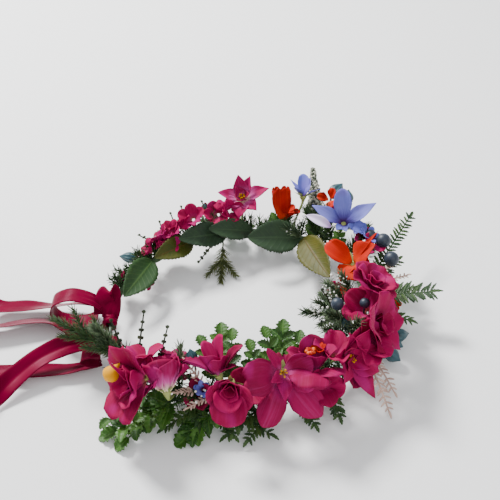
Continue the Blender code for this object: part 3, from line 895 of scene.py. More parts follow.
HEARTS = {}
for number, (name, (cloth, shift, rows)) in enumerate(BLOOMS.items()):
    place = bloom_place(name) @ Matrix.Translation(Vector(shift) * MM)
    HEARTS[name] = place
    pile = Pile()
    for k, (turn, length, width, rise, fall_angle, cup, wave, tip) in enumerate(rows):
        petal(pile, place, turn, length, width, rise, fall_angle, cup, wave, tip, seed=100 * number + k)
    pile.finish(f"cloth_{name}", cloth, "crown", petal_slot(name), [f"{name}_petals"], thick=PETAL_CLOTH)
print("made", len(HEARTS), "blooms")

# %% [markdown]
# ## Stems and calyxes
# Each larger bloom sits on a moulded stem with a few green sepals round its base. The stem follows
# the structure's: its root on the tape and its top under the petals, with a slight bend.

# %% Green finish
calyx_green = Finish("calyx_green")
_, along, _ = chart_of(calyx_green)
mottle = calyx_green.noise(calyx_green.place(), 260.0)
# Paler from the root of each stem and sepal towards its tip, broken by a mottle.
paler_towards_tip = along + mottle * 0.5 - 0.3
calyx_green.set("Base Color", calyx_green.mix(paler_towards_tip, (0.10, 0.16, 0.045), (0.33, 0.36, 0.10)))
calyx_green.set("Roughness", 0.5 + mottle * 0.2)
calyx_green.bump(mottle, 0.3, 0.0004)
print("calyx green:", len(calyx_green.tree.nodes), "nodes")

# %% Stems and sepals
SEPALS = 5
STEM_RADII = [0.9] * 10 + [1.0, 1.2, 1.6, 2.2, 2.7, 2.9]

for name, place in HEARTS.items():
    if f"{name}_stem" not in frame["nodes"]:
        continue
    top = place @ Vector((0, 0, 0.5 * MM))
    axis = (place @ Vector((0, 0, 1)) - place @ Vector()).normalized()
    stem_points = [Vector(point) for point in points_of(f"{name}_stem")]
    foot = min(stem_points, key=lambda point: (point - nearest_on_ring(point)).length)
    line = smooth_line([foot, foot.lerp(top - axis * (6 * MM), 0.55), top - axis * (5 * MM), top], 5)
    pile = Pile()
    pile.rod(line, [radius * MM for radius in STEM_RADII], sides=10)
    for k in range(SEPALS):
        petal(pile, place, 360 / SEPALS * k + 20, 8, 4.2, 58, 70, 0.4, 0.06, "point", seed=k, root=1.6)
    pile.finish(f"moulded_{name}_stem", calyx_green, "crown", "calyx", [f"{name}_stem"])
print("stems with sepals:", sum(f"{name}_stem" in frame["nodes"] for name in HEARTS))

# %% [markdown]
# ## Leaves
# Cloth leaves are stamped, so their edge has small even teeth and their veins are pressed in. The
# teeth are in the outline of the mesh, the veins in the finish. The same shape with few, deep teeth
# makes the leaflets of the herb sprays, and a long thin one a needle or a frond's small leaf.


# %% Leaf finishes
def leaf_finish(name, deep, body, rib, gloss=0.5, side_veins=9.0):
    """Pressed leaf cloth: two shades in a mottle, with a midrib and veins that slant off it."""
    green = Finish(name, Specular_IOR_Level=0.3)
    across, along, tone = chart_of(green)
    spread = across.size()
    vein = (((along - spread * 0.22) * side_veins).math("FRACT") - 0.5).size().between(0.40, 0.48)
    midrib = 1.0 - spread.between(0.02, 0.09)
    mottle = green.noise(green.place(), 130.0, 3.0)
    grain = green.noise(green.place(), 1500.0, 2.0)
    tint = green.mix((mottle + tone * 0.8 - 0.5).between(0.05, 0.85), deep, body)
    tint = green.mix(vein * 0.25, tint, rib)
    tint = green.mix(midrib * 0.55, tint, rib)
    green.set("Base Color", tint)
    green.set("Roughness", gloss + grain * 0.15)
    green.bump(midrib * 0.8 + vein * 0.5 + grain * 0.15, 0.4, 0.0005)
    return green


rose_green = leaf_finish("rose_leaf", (0.012, 0.042, 0.008), (0.030, 0.085, 0.012), (0.06, 0.12, 0.025))
dark_green = leaf_finish(
    "dark_rose_leaf", (0.010, 0.026, 0.011), (0.018, 0.045, 0.014), (0.035, 0.07, 0.028)
)
olive_green = leaf_finish("olive_leaf", (0.030, 0.042, 0.000), (0.070, 0.066, 0.001), (0.09, 0.045, 0.004))
herb_green = leaf_finish(
    "herb_leaf", (0.012, 0.055, 0.004), (0.045, 0.125, 0.010), (0.09, 0.19, 0.03), gloss=0.4, side_veins=5.0
)
fern_green = leaf_finish(
    "fern", (0.010, 0.035, 0.008), (0.038, 0.080, 0.014), (0.08, 0.14, 0.04), gloss=0.45, side_veins=3.0
)
grey_green = leaf_finish(
    "grey_sprig", (0.03, 0.06, 0.025), (0.13, 0.18, 0.09), (0.24, 0.30, 0.20), side_veins=3.0
)
moss_green = leaf_finish(
    "moss_sprig", (0.035, 0.055, 0.006), (0.14, 0.16, 0.045), (0.34, 0.34, 0.20), side_veins=3.0
)
pale_sprig = leaf_finish(
    "pale_sprig", (0.40, 0.25, 0.20), (0.66, 0.48, 0.40), (0.75, 0.6, 0.52), gloss=0.55, side_veins=3.0
)
bark = leaf_finish(
    "twig", (0.012, 0.020, 0.008), (0.035, 0.045, 0.015), (0.05, 0.06, 0.03), gloss=0.6, side_veins=3.0
)
print("leaf finishes: rose, dark, olive, herb, fern, grey, moss, pale and twig")


# %% Leaf shape
def leaf(
    pile,
    root,
    tip,
    normal,
    width,
    teeth=14,
    bite=0.07,
    fold=0.14,
    droop=0.08,
    rows=44,
    columns=9,
    tone=0.5,
):
    """A leaf from root to tip: toothed at its edge, folded along its midrib, with a drooping tip."""
    run = tip - root
    length = run.length
    ahead = run.normalized()
    up = (normal - ahead * normal.dot(ahead)).normalized()
    side = ahead.cross(up)
    places, charts = [], []
    for j in range(rows):
        t = j / (rows - 1)
        half = 0.5 * width * max(sin(pi * t**0.85), 0.0) ** 0.75 + 0.0002
        saw = (t * teeth) % 1.0
        edge = 1 - bite * (1 - saw) * 2 if 0.04 < t < 0.96 else 1.0
        row, row_charts = [], []
        for k in range(columns):
            a = 2 * k / (columns - 1) - 1
            reach = half * a * (edge if abs(a) > 0.7 else 1.0)
            lift = fold * half * abs(a) ** 1.3 * 2 - droop * length * (2 * t - 1) ** 2
            row.append(root + ahead * (length * t) + side * reach + up * (lift + droop * length))
            row_charts.append((a, t, tone))
        places.append(row)
        charts.append(row_charts)
    pile.grid(places, charts)


print("leaf shape ready")


# %% The six large leaves
def across_size(node, root, tip, normal):
    """How wide a node is, across its length and in its own plane."""
    side = (tip - root).cross(normal).normalized()
    reach = points_of(node) @ np.array(side)
    return float(reach.max() - reach.min())


LEAF_CLOTH = 0.0003
LEAVES = {
    "rose_leaf_1": (rose_green, 17),
    "rose_leaf_2": (olive_green, 15),
    "rose_leaf_3": (dark_green, 16),
    "rose_leaf_4": (dark_green, 16),
    "rose_leaf_5": (dark_green, 19),
    "rose_leaf_6": (olive_green, 17),
}
for number, (name, (finish, teeth)) in enumerate(LEAVES.items()):
    root, tip, normal = ends_of(name)
    pile = Pile()
    width = 1.06 * across_size(name, root, tip, normal)
    leaf(pile, root, tip, normal, width, teeth, droop=0.03, tone=0.2 + 0.11 * number)
    slot = "olive_leaf" if finish is olive_green else "rose_leaf"
    pile.finish(f"cloth_{name}", finish, "crown", slot, [name], thick=LEAF_CLOTH)
print("leaves:", len(LEAVES))

# %% [markdown]
# ## Sprays and fronds
# A spray is one stem with leaflets in pairs, each pair smaller towards the tip. The herb has broad
# leaflets with deep teeth, the frond has many thin ones close together.


# %% A stem with leaflets
def spray(
    pile, root, tip, normal, pairs, size, width, teeth, bite, bare=0.15, angle=50, sag=0.06, seed=1
):
    """A bent stem and its leaflets, with one more at the tip. Sizes are metres, the angle degrees."""
    fold, leaf_rows, leaf_columns = 0.2, 4 * teeth + 3, 5
    draw = random.Random(seed)
    middle = root.lerp(tip, 0.5) + normal * (sag * (tip - root).length)
    line = smooth_line([root, middle, tip], 10)
    pile.rod(line, [0.0007 * (1 - 0.5 * k / 20) for k in range(21)], 6, tone=0.3)
    for k in range(pairs):
        t = bare + (1 - bare) * k / pairs
        spot = line[min(int(20 * t), 19)]
        ahead = (line[min(int(20 * t) + 1, 20)] - spot).normalized()
        side = ahead.cross(normal).normalized()
        reach = size * (1.08 - 0.45 * t) * draw.uniform(0.85, 1.1)
        for way in (-1, 1):
            spin = radians(angle + draw.uniform(-9, 9))
            out = ahead * cos(spin) + side * (way * sin(spin)) + normal * draw.uniform(-0.1, 0.2)
            lean = (normal + side * draw.uniform(-0.35, 0.35)).normalized()
            end = spot + out.normalized() * reach
            wide = width * reach / size
            tone = draw.random()
            leaf(pile, spot, end, lean, wide, teeth, bite, fold, 0.06, leaf_rows, leaf_columns, tone)
    ahead = (line[-1] - line[-3]).normalized()
    spot = tip - ahead * size * 0.3
    end = tip + ahead * size * 0.55
    leaf(pile, spot, end, normal, width, teeth, bite, fold, 0.05, leaf_rows, leaf_columns, 0.6)


print("spray ready")

# %% The herb sprays and the fronds
SPRAYS = {
    "herb_spray_left": (4, 0.018, 0.014),
    "herb_spray_front": (4, 0.017, 0.014),
    "herb_spray_back": (4, 0.012, 0.010),
    "herb_spray_inner_1": (4, 0.014, 0.011),
    "herb_spray_inner_2": (4, 0.014, 0.011),
}
for number, (name, (pairs, size, width)) in enumerate(SPRAYS.items()):
    root, tip, normal = ends_of(name)
    tip = root.lerp(tip, 0.9)
    pile = Pile()
    spray(pile, root, tip, normal, pairs, size, width, 5, 0.20, 0.2, 52, 0.03, seed=number)
    pile.finish(f"cloth_{name}", herb_green, "crown", "herb_leaf", [name], thick=LEAF_CLOTH)

FRONDS = {"fern_frond_1": 0.0085, "fern_frond_2": 0.0125}
for number, (name, size) in enumerate(FRONDS.items()):
    root, tip, normal = ends_of(name)
    pile = Pile()
    spray(pile, root, tip, normal, 20, size, 0.0030, 4, 0.22, 0.1, 58, 0.02, seed=20 + number)
    pile.finish(f"cloth_{name}", fern_green, "crown", "sprig", [name], thick=LEAF_CLOTH)
print("sprays:", len(SPRAYS), "fronds:", len(FRONDS))

# %% [markdown]
# ## Needles, buds and berries
# Moulded sprigs are soft plastic. A needle is a thin three-sided rod that leaves its stem at a fixed
# angle, and the angle round the stem turns by the golden angle each time, so no two stand in line.


# %% Needles and spikes
GOLDEN = radians(137.5)


def needles(pile, root, tip, count, length, angle=45, thin=0.00035, start=0.1, bend=0.0, seed=3, under=1.0):
    """A stem with needles all round it, which hang no further under it than is stated."""
    draw = random.Random(seed)
    middle = root.lerp(tip, 0.5) + UP * (bend * (tip - root).length)
    line = smooth_line([root, middle, tip], 10)
    pile.rod(line, [0.0006] * 21, 5, tone=0.2)
    for k in range(count):
        t = start + (1 - start) * k / count
        j = min(int(20 * t), 19)
        spot = line[j].lerp(line[j + 1], 20 * t - j)
        ahead = (line[j + 1] - line[j]).normalized()
        side = ahead.cross(UP).normalized()
        other = ahead.cross(side)
        turn = k * GOLDEN
        spin = radians(angle * (1 - 0.5 * t**3) + draw.uniform(-10, 10))
        out = ahead * cos(spin) + (side * cos(turn) + other * sin(turn)) * sin(spin)
        reach = length * draw.uniform(0.75, 1.1) * (1.1 - 0.4 * t)
        out.z = max(out.z, -under / reach)
        bow = out * (0.5 * reach) + ahead * (0.04 * reach)
        pile.rod([spot, spot + bow, spot + out * reach], [thin, thin * 0.9, thin * 0.25], 3, draw.random())


def flecked(pile, root, tip, count, wide, bead, seed=4):
    """A spike of tiny florets: beads round a stem, closer to it towards the tip."""
    draw = random.Random(seed)
    ahead = (tip - root).normalized()
    side = ahead.cross(Vector((1, 0.3, 0))).normalized()
    other = ahead.cross(side)
    for k in range(count):
        t = k / count
        turn = k * GOLDEN
        reach = wide * (1 - 0.8 * t) * draw.uniform(0.7, 1.1)
        spot = root.lerp(tip, t) + (side * cos(turn) + other * sin(turn)) * reach
        pile.bead(spot, bead * draw.uniform(0.7, 1.15) * (1.1 - 0.4 * t), draw.random(), 6, 4)


def side_of(ahead):
    return ahead.cross(UP).normalized()


print("needles and spikes ready")


# %% Moulded finishes
def plain_finish(name, first, second, gloss, scale=300.0, **constants):
    """Moulded plastic in two shades: each bead takes its own, and a fine mottle joins them."""
    plastic = Finish(name, **constants)
    _, _, tone = chart_of(plastic)
    mottle = plastic.noise(plastic.place(), scale, 3.0)
    shade = (mottle * 0.6 + tone * 0.9 - 0.3).between(0.05, 0.85)
    plastic.set("Base Color", plastic.mix(shade, first, second))
    plastic.set("Roughness", gloss + mottle * 0.15)
    plastic.bump(mottle, 0.3, 0.0003)
    return plastic


heather = plain_finish("heather", (0.02, 0.035, 0.012), (0.50, 0.50, 0.40), 0.5)
teal = plain_finish("teal_bud", (0.004, 0.028, 0.034), (0.022, 0.095, 0.12), 0.35)
navy = plain_finish("navy_berry", (0.003, 0.007, 0.016), (0.016, 0.030, 0.052), 0.4, 900.0)
yellow = plain_finish(
    "yellow_bud", (0.60, 0.22, 0.0), (0.70, 0.34, 0.0), 0.5, 120.0, Specular_IOR_Level=0.12
)
white = plain_finish("white_bead", (0.55, 0.55, 0.50), (0.85, 0.85, 0.80), 0.4)
coral = plain_finish("coral_bud", (0.55, 0.03, 0.006), (0.66, 0.12, 0.012), 0.4)
print("moulded finishes: heather, teal, navy, yellow, white and coral")

# %% [markdown]
# ## Sprigs
# The pine sprig lies over the second ribbon, which turns under it. So its root is lifted, and its
# needles hang hardly any lower than their stems. The others stand free, with needles all round.

# %% The pine sprig
ROOT_LIFT = 0.0025
PINE_TWIGS = ((-1, 0.10), (1, 0.25), (-1, 0.42), (1, 0.55))

root, tip, _ = ends_of("pine_sprig")
root.z += ROOT_LIFT
pile = Pile()
needles(pile, root, tip, 210, 0.011, 48, 0.0004, 0.0, seed=31, under=0.0005)
for k, (way, share) in enumerate(PINE_TWIGS):
    spot = root.lerp(tip, share)
    out = (tip - root).normalized() * 0.018 + side_of(tip - root) * (way * 0.012) + UP * 0.004
    needles(pile, spot, spot + out, 60, 0.008, 45, 0.00035, 0.1, seed=40 + k, under=0.0003)
pile.finish("moulded_pine_sprig", fern_green, "crown", "sprig", ["pine_sprig"])
print("pine sprig: one stem and", len(PINE_TWIGS), "twigs")

# %% The heather sprig: a spike of florets over a foot of needles
root, tip, _ = ends_of("heather_sprig")
pile = Pile()
pile.rod([root, root.lerp(tip, 0.5), tip], [0.0009, 0.0008, 0.0004], 6, 0.1)
flecked(pile, root.lerp(tip, 0.35), tip, 230, 0.0065, 0.0014, seed=5)
pile.finish("moulded_heather_sprig", heather, "crown", "sprig", ["heather_sprig"])
pile = Pile()
needles(pile, root, root.lerp(tip, 0.55), 90, 0.011, 40, 0.0004, 0.15, seed=6)
pile.finish("heather_needles", fern_green, "crown", "sprig")
print("heather:", round((tip - root).length, 3), "m long")

# %% The two inner sprigs
root, tip, _ = ends_of("inner_sprig_back")
pile = Pile()
needles(pile, root, tip, 110, 0.009, 50, 0.0004, 0.15, seed=7)
spot = root.lerp(tip, 0.45)
for way in (-1, 1):
    end = spot + (tip - root) * 0.4 + Vector((way * 0.011, 0, 0))
    needles(pile, spot, end, 60, 0.007, 50, 0.0004, seed=8 + way)
pile.finish("moulded_inner_sprig_back", moss_green, "crown", "sprig", ["inner_sprig_back"])

RIGHT_TWIGS = ((-12, 14, 6), (-14, -12, 2), (-6, 22, 10), (-2, -14, 4), (-16, 4, 9))
root, tip, _ = ends_of("inner_sprig_right")
pile = Pile()
needles(pile, root, tip, 130, 0.010, 50, 0.0005, 0.15, seed=11)
spot = root.lerp(tip, 0.35)
for k, reach in enumerate(RIGHT_TWIGS):
    needles(pile, spot, spot + Vector(reach) * MM, 60, 0.008, 48, 0.0005, seed=12 + k)
pile.finish("moulded_inner_sprig_right", grey_green, "crown", "sprig", ["inner_sprig_right"])
print("inner sprigs: back, and right with", len(RIGHT_TWIGS), "twigs")

# %% [markdown]
# ## Buds and berries
# A bud is a short rod whose radius follows one outline, with ribs for the folded petals inside, and
# loose scales at its base. Berries are plain balls. Each is on a stem of its own from the tape.

# %% Bud shape
BUD_SHAPE = [0.25, 0.62, 0.86, 0.98, 1.0, 0.93, 0.78, 0.55, 0.28, 0.06]


def scaled_bud(pile, place, length, wide, scales):
    """A ribbed bud, with a few loose scales round its base. Sizes are mm."""
    line = [place @ Vector((0, 0, k * length / 9 * MM)) for k in range(10)]
    radii = [0.5 * wide * share * MM for share in BUD_SHAPE]
    pile.rod(line, radii, 6 * scales, 0.45, 0.09, scales)
    for k in range(scales):
        turn = 360 * (k + 0.5) / scales
        petal(pile, place, turn, 0.5 * length, 0.3 * wide, 75, 5, 0.5, 0.02, "point", seed=k, root=1.2)


print("bud outline:", len(BUD_SHAPE), "radii")

# %% Teal buds, in pairs
STALK = [0.0009, 0.0008, 0.0008]

for name in ("teal_bud_back", "teal_bud_right"):
    root, tip, _ = ends_of(name)
    ahead = (tip - root).normalized()
    base = tip - ahead * (14 * MM)
    pile = Pile()
    pile.rod([root, root.lerp(base, 0.5), base], STALK, 6, 0.1)
    scaled_bud(pile, aimed(base - ahead * 0.0005, ahead + Vector((0.5, -0.2, 0.0))), 15, 11, 8)
    scaled_bud(pile, aimed(base + side_of(ahead) * 0.013 - ahead * 0.004, ahead), 12, 8.5, 7)
    pile.finish(f"moulded_{name}", teal, "crown", "teal_bud", [name], thick=LEAF_CLOTH)
    print(name, "made")

# %% Navy berries: each one's place from the tip, and its radius, in mm
BERRIES = (((-3, 0, 0), 5.6), ((2, -14, -6), 5.6), ((-12, 5, 1), 4.4))

root, tip, _ = ends_of("navy_berry")
top = tip - (tip - root).normalized() * 0.004
pile = Pile()
pile.rod([root, root.lerp(tip, 0.5), top], STALK, 6, 0.1)
for reach, radius in BERRIES:
    pile.bead(top + Vector(reach) * MM, radius * MM, 0.5, 16, 12)
pile.finish("moulded_navy_berry", navy, "crown", "navy_berry", ["navy_berry"])
print("berries:", len(BERRIES))

# %% The yellow bud, which leans out over the first bloom
YELLOW_RADII = [1.6, 4.1, 5.2, 5.4, 4.9, 3.9, 2.5, 1.2, 0.4]
YELLOW_STEP = 1.7

root, tip, _ = ends_of("yellow_bud")
place = aimed(tip + Vector((10.0, -19.5, 21.5)) * MM, Vector((0.62, 0.45, 0.64)))
line = [place @ Vector((0, 0, k * YELLOW_STEP * MM)) for k in range(len(YELLOW_RADII))]
pile = Pile()
pile.rod(line, [radius * MM for radius in YELLOW_RADII], 16, 0.6)
pile.rod([root, root.lerp(tip, 0.3), place @ Vector()], [0.0008] * 3, 6, 0.1)
pile.finish("moulded_yellow_bud", yellow, "crown", "yellow_bud", ["yellow_bud"])
print("yellow bud:", round((len(YELLOW_RADII) - 1) * YELLOW_STEP, 1), "mm long")

# %% [markdown]
# ## Wire and tape
# The wire shows only where the ribbons are tied. Elsewhere crepe paper tape is wound over it, each
# turn half over the last, which leaves a ridge that climbs round the ring.

# %% Painted wire and crepe paper
steel = Finish("wire", Metallic=0.0)
paint = steel.noise(steel.place(), 400.0)
steel.set("Base Color", steel.mix(paint, (0.02, 0.035, 0.02), (0.05, 0.08, 0.04)))
steel.set("Roughness", 0.4 + paint * 0.2)
paper = Finish("floral_tape")
crepe = paper.noise(paper.place(), 900.0)
_, _, tone = chart_of(paper)
paper.set("Base Color", paper.mix(crepe * 0.6 + tone * 0.4, (0.015, 0.04, 0.015), (0.05, 0.10, 0.035)))
paper.set("Roughness", 0.65 + crepe * 0.2)
paper.bump(crepe, 0.4, 0.0003)
print("wire and paper finishes ready")


# %% Wire, and the tape with its climbing ridge
def ring_line(node, count, first=0.0, last=360.0):
    """The middle of a node that follows the ring, at evenly spaced turns in degrees."""
    cloud = points_of(node)
    turns = np.degrees(np.arctan2(cloud[:, 1], cloud[:, 0])) % 360
    line = []
    for turn in np.linspace(first, last, count):
        near = np.abs((turns - turn + 180) % 360 - 180)
        line.append(Vector(cloud[np.argsort(near)[:24]].mean(0)))
    return line


BARE = (175, 209)
WIRE_STEPS = 181
WIRE_RADIUS = 0.0011
TAPE_SIDES = 14
TAPE_RADIUS = 0.0021
RIDGE = 0.0006
CLIMB = 0.16

pile = Pile()
wire = ring_line("frame_wire", WIRE_STEPS)
pile.rod(wire, [WIRE_RADIUS] * WIRE_STEPS, 10, 0.5, capped=False)
pile.finish("steel_wire", steel, "crown", "wire", ["frame_wire"])

tape = smooth_line(ring_line("frame_wire", 120, BARE[1], BARE[0] + 360), 6)
pile = Pile()
places, charts = [], []
for k, middle in enumerate(tape):
    ahead = (tape[min(k + 1, len(tape) - 1)] - tape[max(k - 1, 0)]).normalized()
    side = side_of(ahead)
    row, row_charts = [], []
    for j in range(TAPE_SIDES):
        turn = 2 * pi * j / TAPE_SIDES
        climb = (k * CLIMB + j / TAPE_SIDES) % 1.0
        reach = TAPE_RADIUS + RIDGE * climb
        row.append(middle + side * (reach * cos(turn)) + UP * (reach * sin(turn)))
        row_charts.append((cos(turn), climb, climb))
    places.append(row)
    charts.append(row_charts)
pile.grid(places, charts, closed=True)
pile.finish("paper_tape", paper, "crown", "floral_tape", ["tape_wrap"])
print("wire bare from", BARE[0], "to", BARE[1], "degrees, taped elsewhere")

# %% [markdown]
# ## Filling
# Between the blooms a maker tucks cuttings of needles, single petals and small buds, until no tape
# shows. They carry no load and have no joint, so they are only drawn here, and ride on the crown.
# Tufts stand at even steps round the ring. The rest have a stated root and tip, in mm.

# %% Tufts of needles round the ring, clear of the ribbons
TUFT_STEPS = 120
TUFTS_EACH = 3
CLEAR = (168, 214)
LEANS_FRONT = (-50, 110)
LEANS_BACK = (-20, 75)

draw = random.Random(77)
pile = Pile()
for k, middle in enumerate(ring_line("frame_wire", TUFT_STEPS + 1)[:-1]):
    turn = 360 // TUFT_STEPS * k
    if CLEAR[0] < turn < CLEAR[1]:
        continue
    out = Vector((middle.x, middle.y, 0)).normalized()
    leans = LEANS_FRONT if turn > CLEAR[1] or turn < 20 else LEANS_BACK
    for way in range(TUFTS_EACH):
        lean = radians(draw.uniform(*leans))
        along_ring = UP.cross(out) * draw.uniform(-0.8, 0.8)
        way_out = (out * cos(lean) + UP * sin(lean) + along_ring).normalized()
        end = middle + way_out * draw.uniform(0.009, 0.016)
        end.z = max(end.z, 0.004)
        needles(pile, middle, end, 11, 0.008, 50, 0.0004, 0.2, seed=1000 + 5 * k + way)
pile.finish("filling_needles", fern_green, "crown", "sprig")
print("tufts:", TUFTS_EACH, "at each of", TUFT_STEPS, "steps outside", CLEAR, "degrees")

# %% [markdown]
# ## Cuttings
# Each kind of cutting is the spray or the needle stem from above with other numbers: flat thuja,
# parsley with few broad leaflets, bare twigs with tiny leaves and pale grass heads. All of one kind
# become one mesh, because they share a finish and none of them moves alone.

# %% Leafy cuttings: root, tip, pairs, size and leaflet width in mm
CUTTINGS = {
    "thuja": (fern_green, "sprig", 4, [
        ((18, -88, 14), (-8, -107, 5), 9, 9, 3),
        ((-14, -88, 14), (22, -106, 5), 9, 9, 3),
        ((24, -90, 12), (6, -110, 4), 8, 8, 3),
        ((-20, -88, 14), (-48, -102, 6), 9, 8, 3),
        ((-34, -84, 16), (-20, -104, 6), 8, 8, 3),
        ((-24, -84, 14), (-2, -108, 6), 8, 8, 3),
        ((40, -84, 12), (50, -98, 4), 6, 8, 3),
        ((60, -74, 12), (66, -92, 5), 6, 8, 3),
        ((-20, 74, 18), (-30, 92, 26), 7, 7, 3),
        ((8, 78, 18), (8, 98, 14), 7, 7, 3),
        ((20, 78, 18), (18, 96, 16), 7, 7, 3),
        ((92, 8, 18), (126, 14, 22), 9, 9, 3),
        ((94, -4, 18), (122, -14, 16), 8, 9, 3),
        ((92, 14, 18), (120, 44, 24), 9, 9, 3),
    ]),
    "parsley": (herb_green, "herb_leaf", 5, [
        ((-12, -82, 24), (-24, -56, 38), 3, 11, 9),
        ((-6, -82, 24), (-4, -52, 40), 3, 11, 9),
        ((14, -80, 24), (8, -58, 36), 3, 11, 9),
        ((26, -76, 24), (18, -50, 40), 3, 11, 9),
        ((34, -74, 24), (40, -52, 38), 3, 11, 9),
        ((44, -70, 24), (50, -58, 40), 3, 9, 8),
        ((-40, -84, 16), (-60, -98, 5), 3, 13, 11),
        ((-44, -86, 16), (-72, -110, 3), 3, 14, 12),
        ((-56, -78, 18), (-84, -98, 8), 3, 11, 9),
        ((24, 80, 20), (34, 96, 34), 3, 9, 8),
        ((56, 72, 20), (62, 92, 34), 3, 9, 8),
        ((74, 50, 22), (76, 62, 40), 3, 9, 8),
    ]),
    "twigs": (bark, "sprig", 1, [
        ((-66, -62, 24), (-62, -42, 52), 5, 3, 3),
        ((-52, -72, 28), (-46, -52, 48), 5, 3, 3),
        ((-78, -50, 20), (-84, -44, 46), 4, 3, 3),
        ((-14, 78, 20), (-32, 60, 8), 6, 3, 3),
        ((70, -16, 24), (58, -8, 40), 5, 3, 3),
        ((-58, 60, 20), (-78, 70, 26), 5, 3, 3),
        ((-56, 60, 24), (-62, 74, 36), 3, 3, 2),
        ((-46, 66, 26), (-54, 82, 38), 3, 3, 2),
        ((-40, 70, 28), (-46, 88, 40), 3, 3, 2),
        ((-22, 78, 28), (-30, 92, 42), 3, 3, 2),
    ]),
    "pale": (pale_sprig, "sprig", 1, [
        ((88, -50, 14), (99, -86, 3), 9, 7, 1.5),
        ((90, -44, 14), (104, -72, 6), 7, 6, 1.5),
        ((94, 14, 22), (124, 26, 24), 8, 6, 1.5),
        ((92, 18, 22), (114, 34, 28), 7, 5, 1.5),
        ((-22, -84, 26), (-34, -72, 38), 5, 5, 1.2),
        ((-26, -86, 24), (-40, -92, 30), 5, 5, 1.2),
        ((-16, -90, 24), (-32, -98, 22), 5, 5, 1.2),
    ]),
}
for number, (kind, (finish, slot, teeth, rows)) in enumerate(CUTTINGS.items()):
    pile = Pile()
    for k, (first, last, pairs, size, width) in enumerate(rows):
        root, tip = Vector(first) * MM, Vector(last) * MM
        flat = (tip - root).cross(UP).cross(tip - root).normalized()
        seed = 60 * number + k
        spray(pile, root, tip, flat, pairs, size * MM, width * MM, teeth, 0.2, 0.2, 50, 0.05, seed)
    pile.finish(f"filling_{kind}", finish, "crown", slot, thick=LEAF_CLOTH)
print("leafy cuttings:", {kind: len(rows) for kind, (_, _, _, rows) in CUTTINGS.items()})

# %% Soft sprigs: finish, root, tip, needles and their length in mm
SOFT_SPRIGS = [
    (grey_green, (74, -38, 26), (58, -52, 46), 100, 12),
    (grey_green, (76, -40, 26), (78, -50, 50), 80, 12),
    (grey_green, (78, -30, 26), (60, -36, 44), 90, 11),
    (grey_green, (80, -14, 26), (62, -2, 40), 90, 10),
    (grey_green, (82, -8, 26), (72, 2, 46), 80, 9),
    (grey_green, (-82, -48, 22), (-96, -44, 40), 110, 9),
    (grey_green, (-80, -50, 20), (-92, -52, 28), 100, 9),
    (grey_green, (-78, -54, 20), (-100, -38, 32), 110, 9),
    (grey_green, (50, 70, 22), (32, 74, 32), 80, 9),
    (grey_green, (-36, -80, 24), (-38, -62, 40), 70, 9),
    (fern_green, (60, 68, 22), (52, 84, 40), 110, 11),
    (fern_green, (70, 60, 22), (66, 80, 44), 110, 11),
    (fern_green, (80, 44, 24), (96, 62, 40), 100, 10),
    (fern_green, (84, 36, 24), (104, 50, 34), 100, 10),
    (fern_green, (34, 78, 22), (40, 94, 32), 90, 10),
    (fern_green, (-22, 72, 22), (-22, 86, 36), 90, 9),
]
pile, dark_pile = Pile(), Pile()
for k, (finish, first, last, count, length) in enumerate(SOFT_SPRIGS):
    target = pile if finish is grey_green else dark_pile
    root, tip = Vector(first) * MM, Vector(last) * MM
    needles(target, root, tip, count, length * MM, 45, 0.0004, 0.15, 0.08, seed=300 + k)
pile.finish("filling_grey_sprigs", grey_green, "crown", "sprig")
dark_pile.finish("filling_green_sprigs", fern_green, "crown", "sprig")
print("soft sprigs:", len(SOFT_SPRIGS))

# %% [markdown]
# ## Tucked petals
# Small heads of three to six petals hide the feet of the large blooms. They use the petal from above,
# opened in three steps so that they don't look stamped.

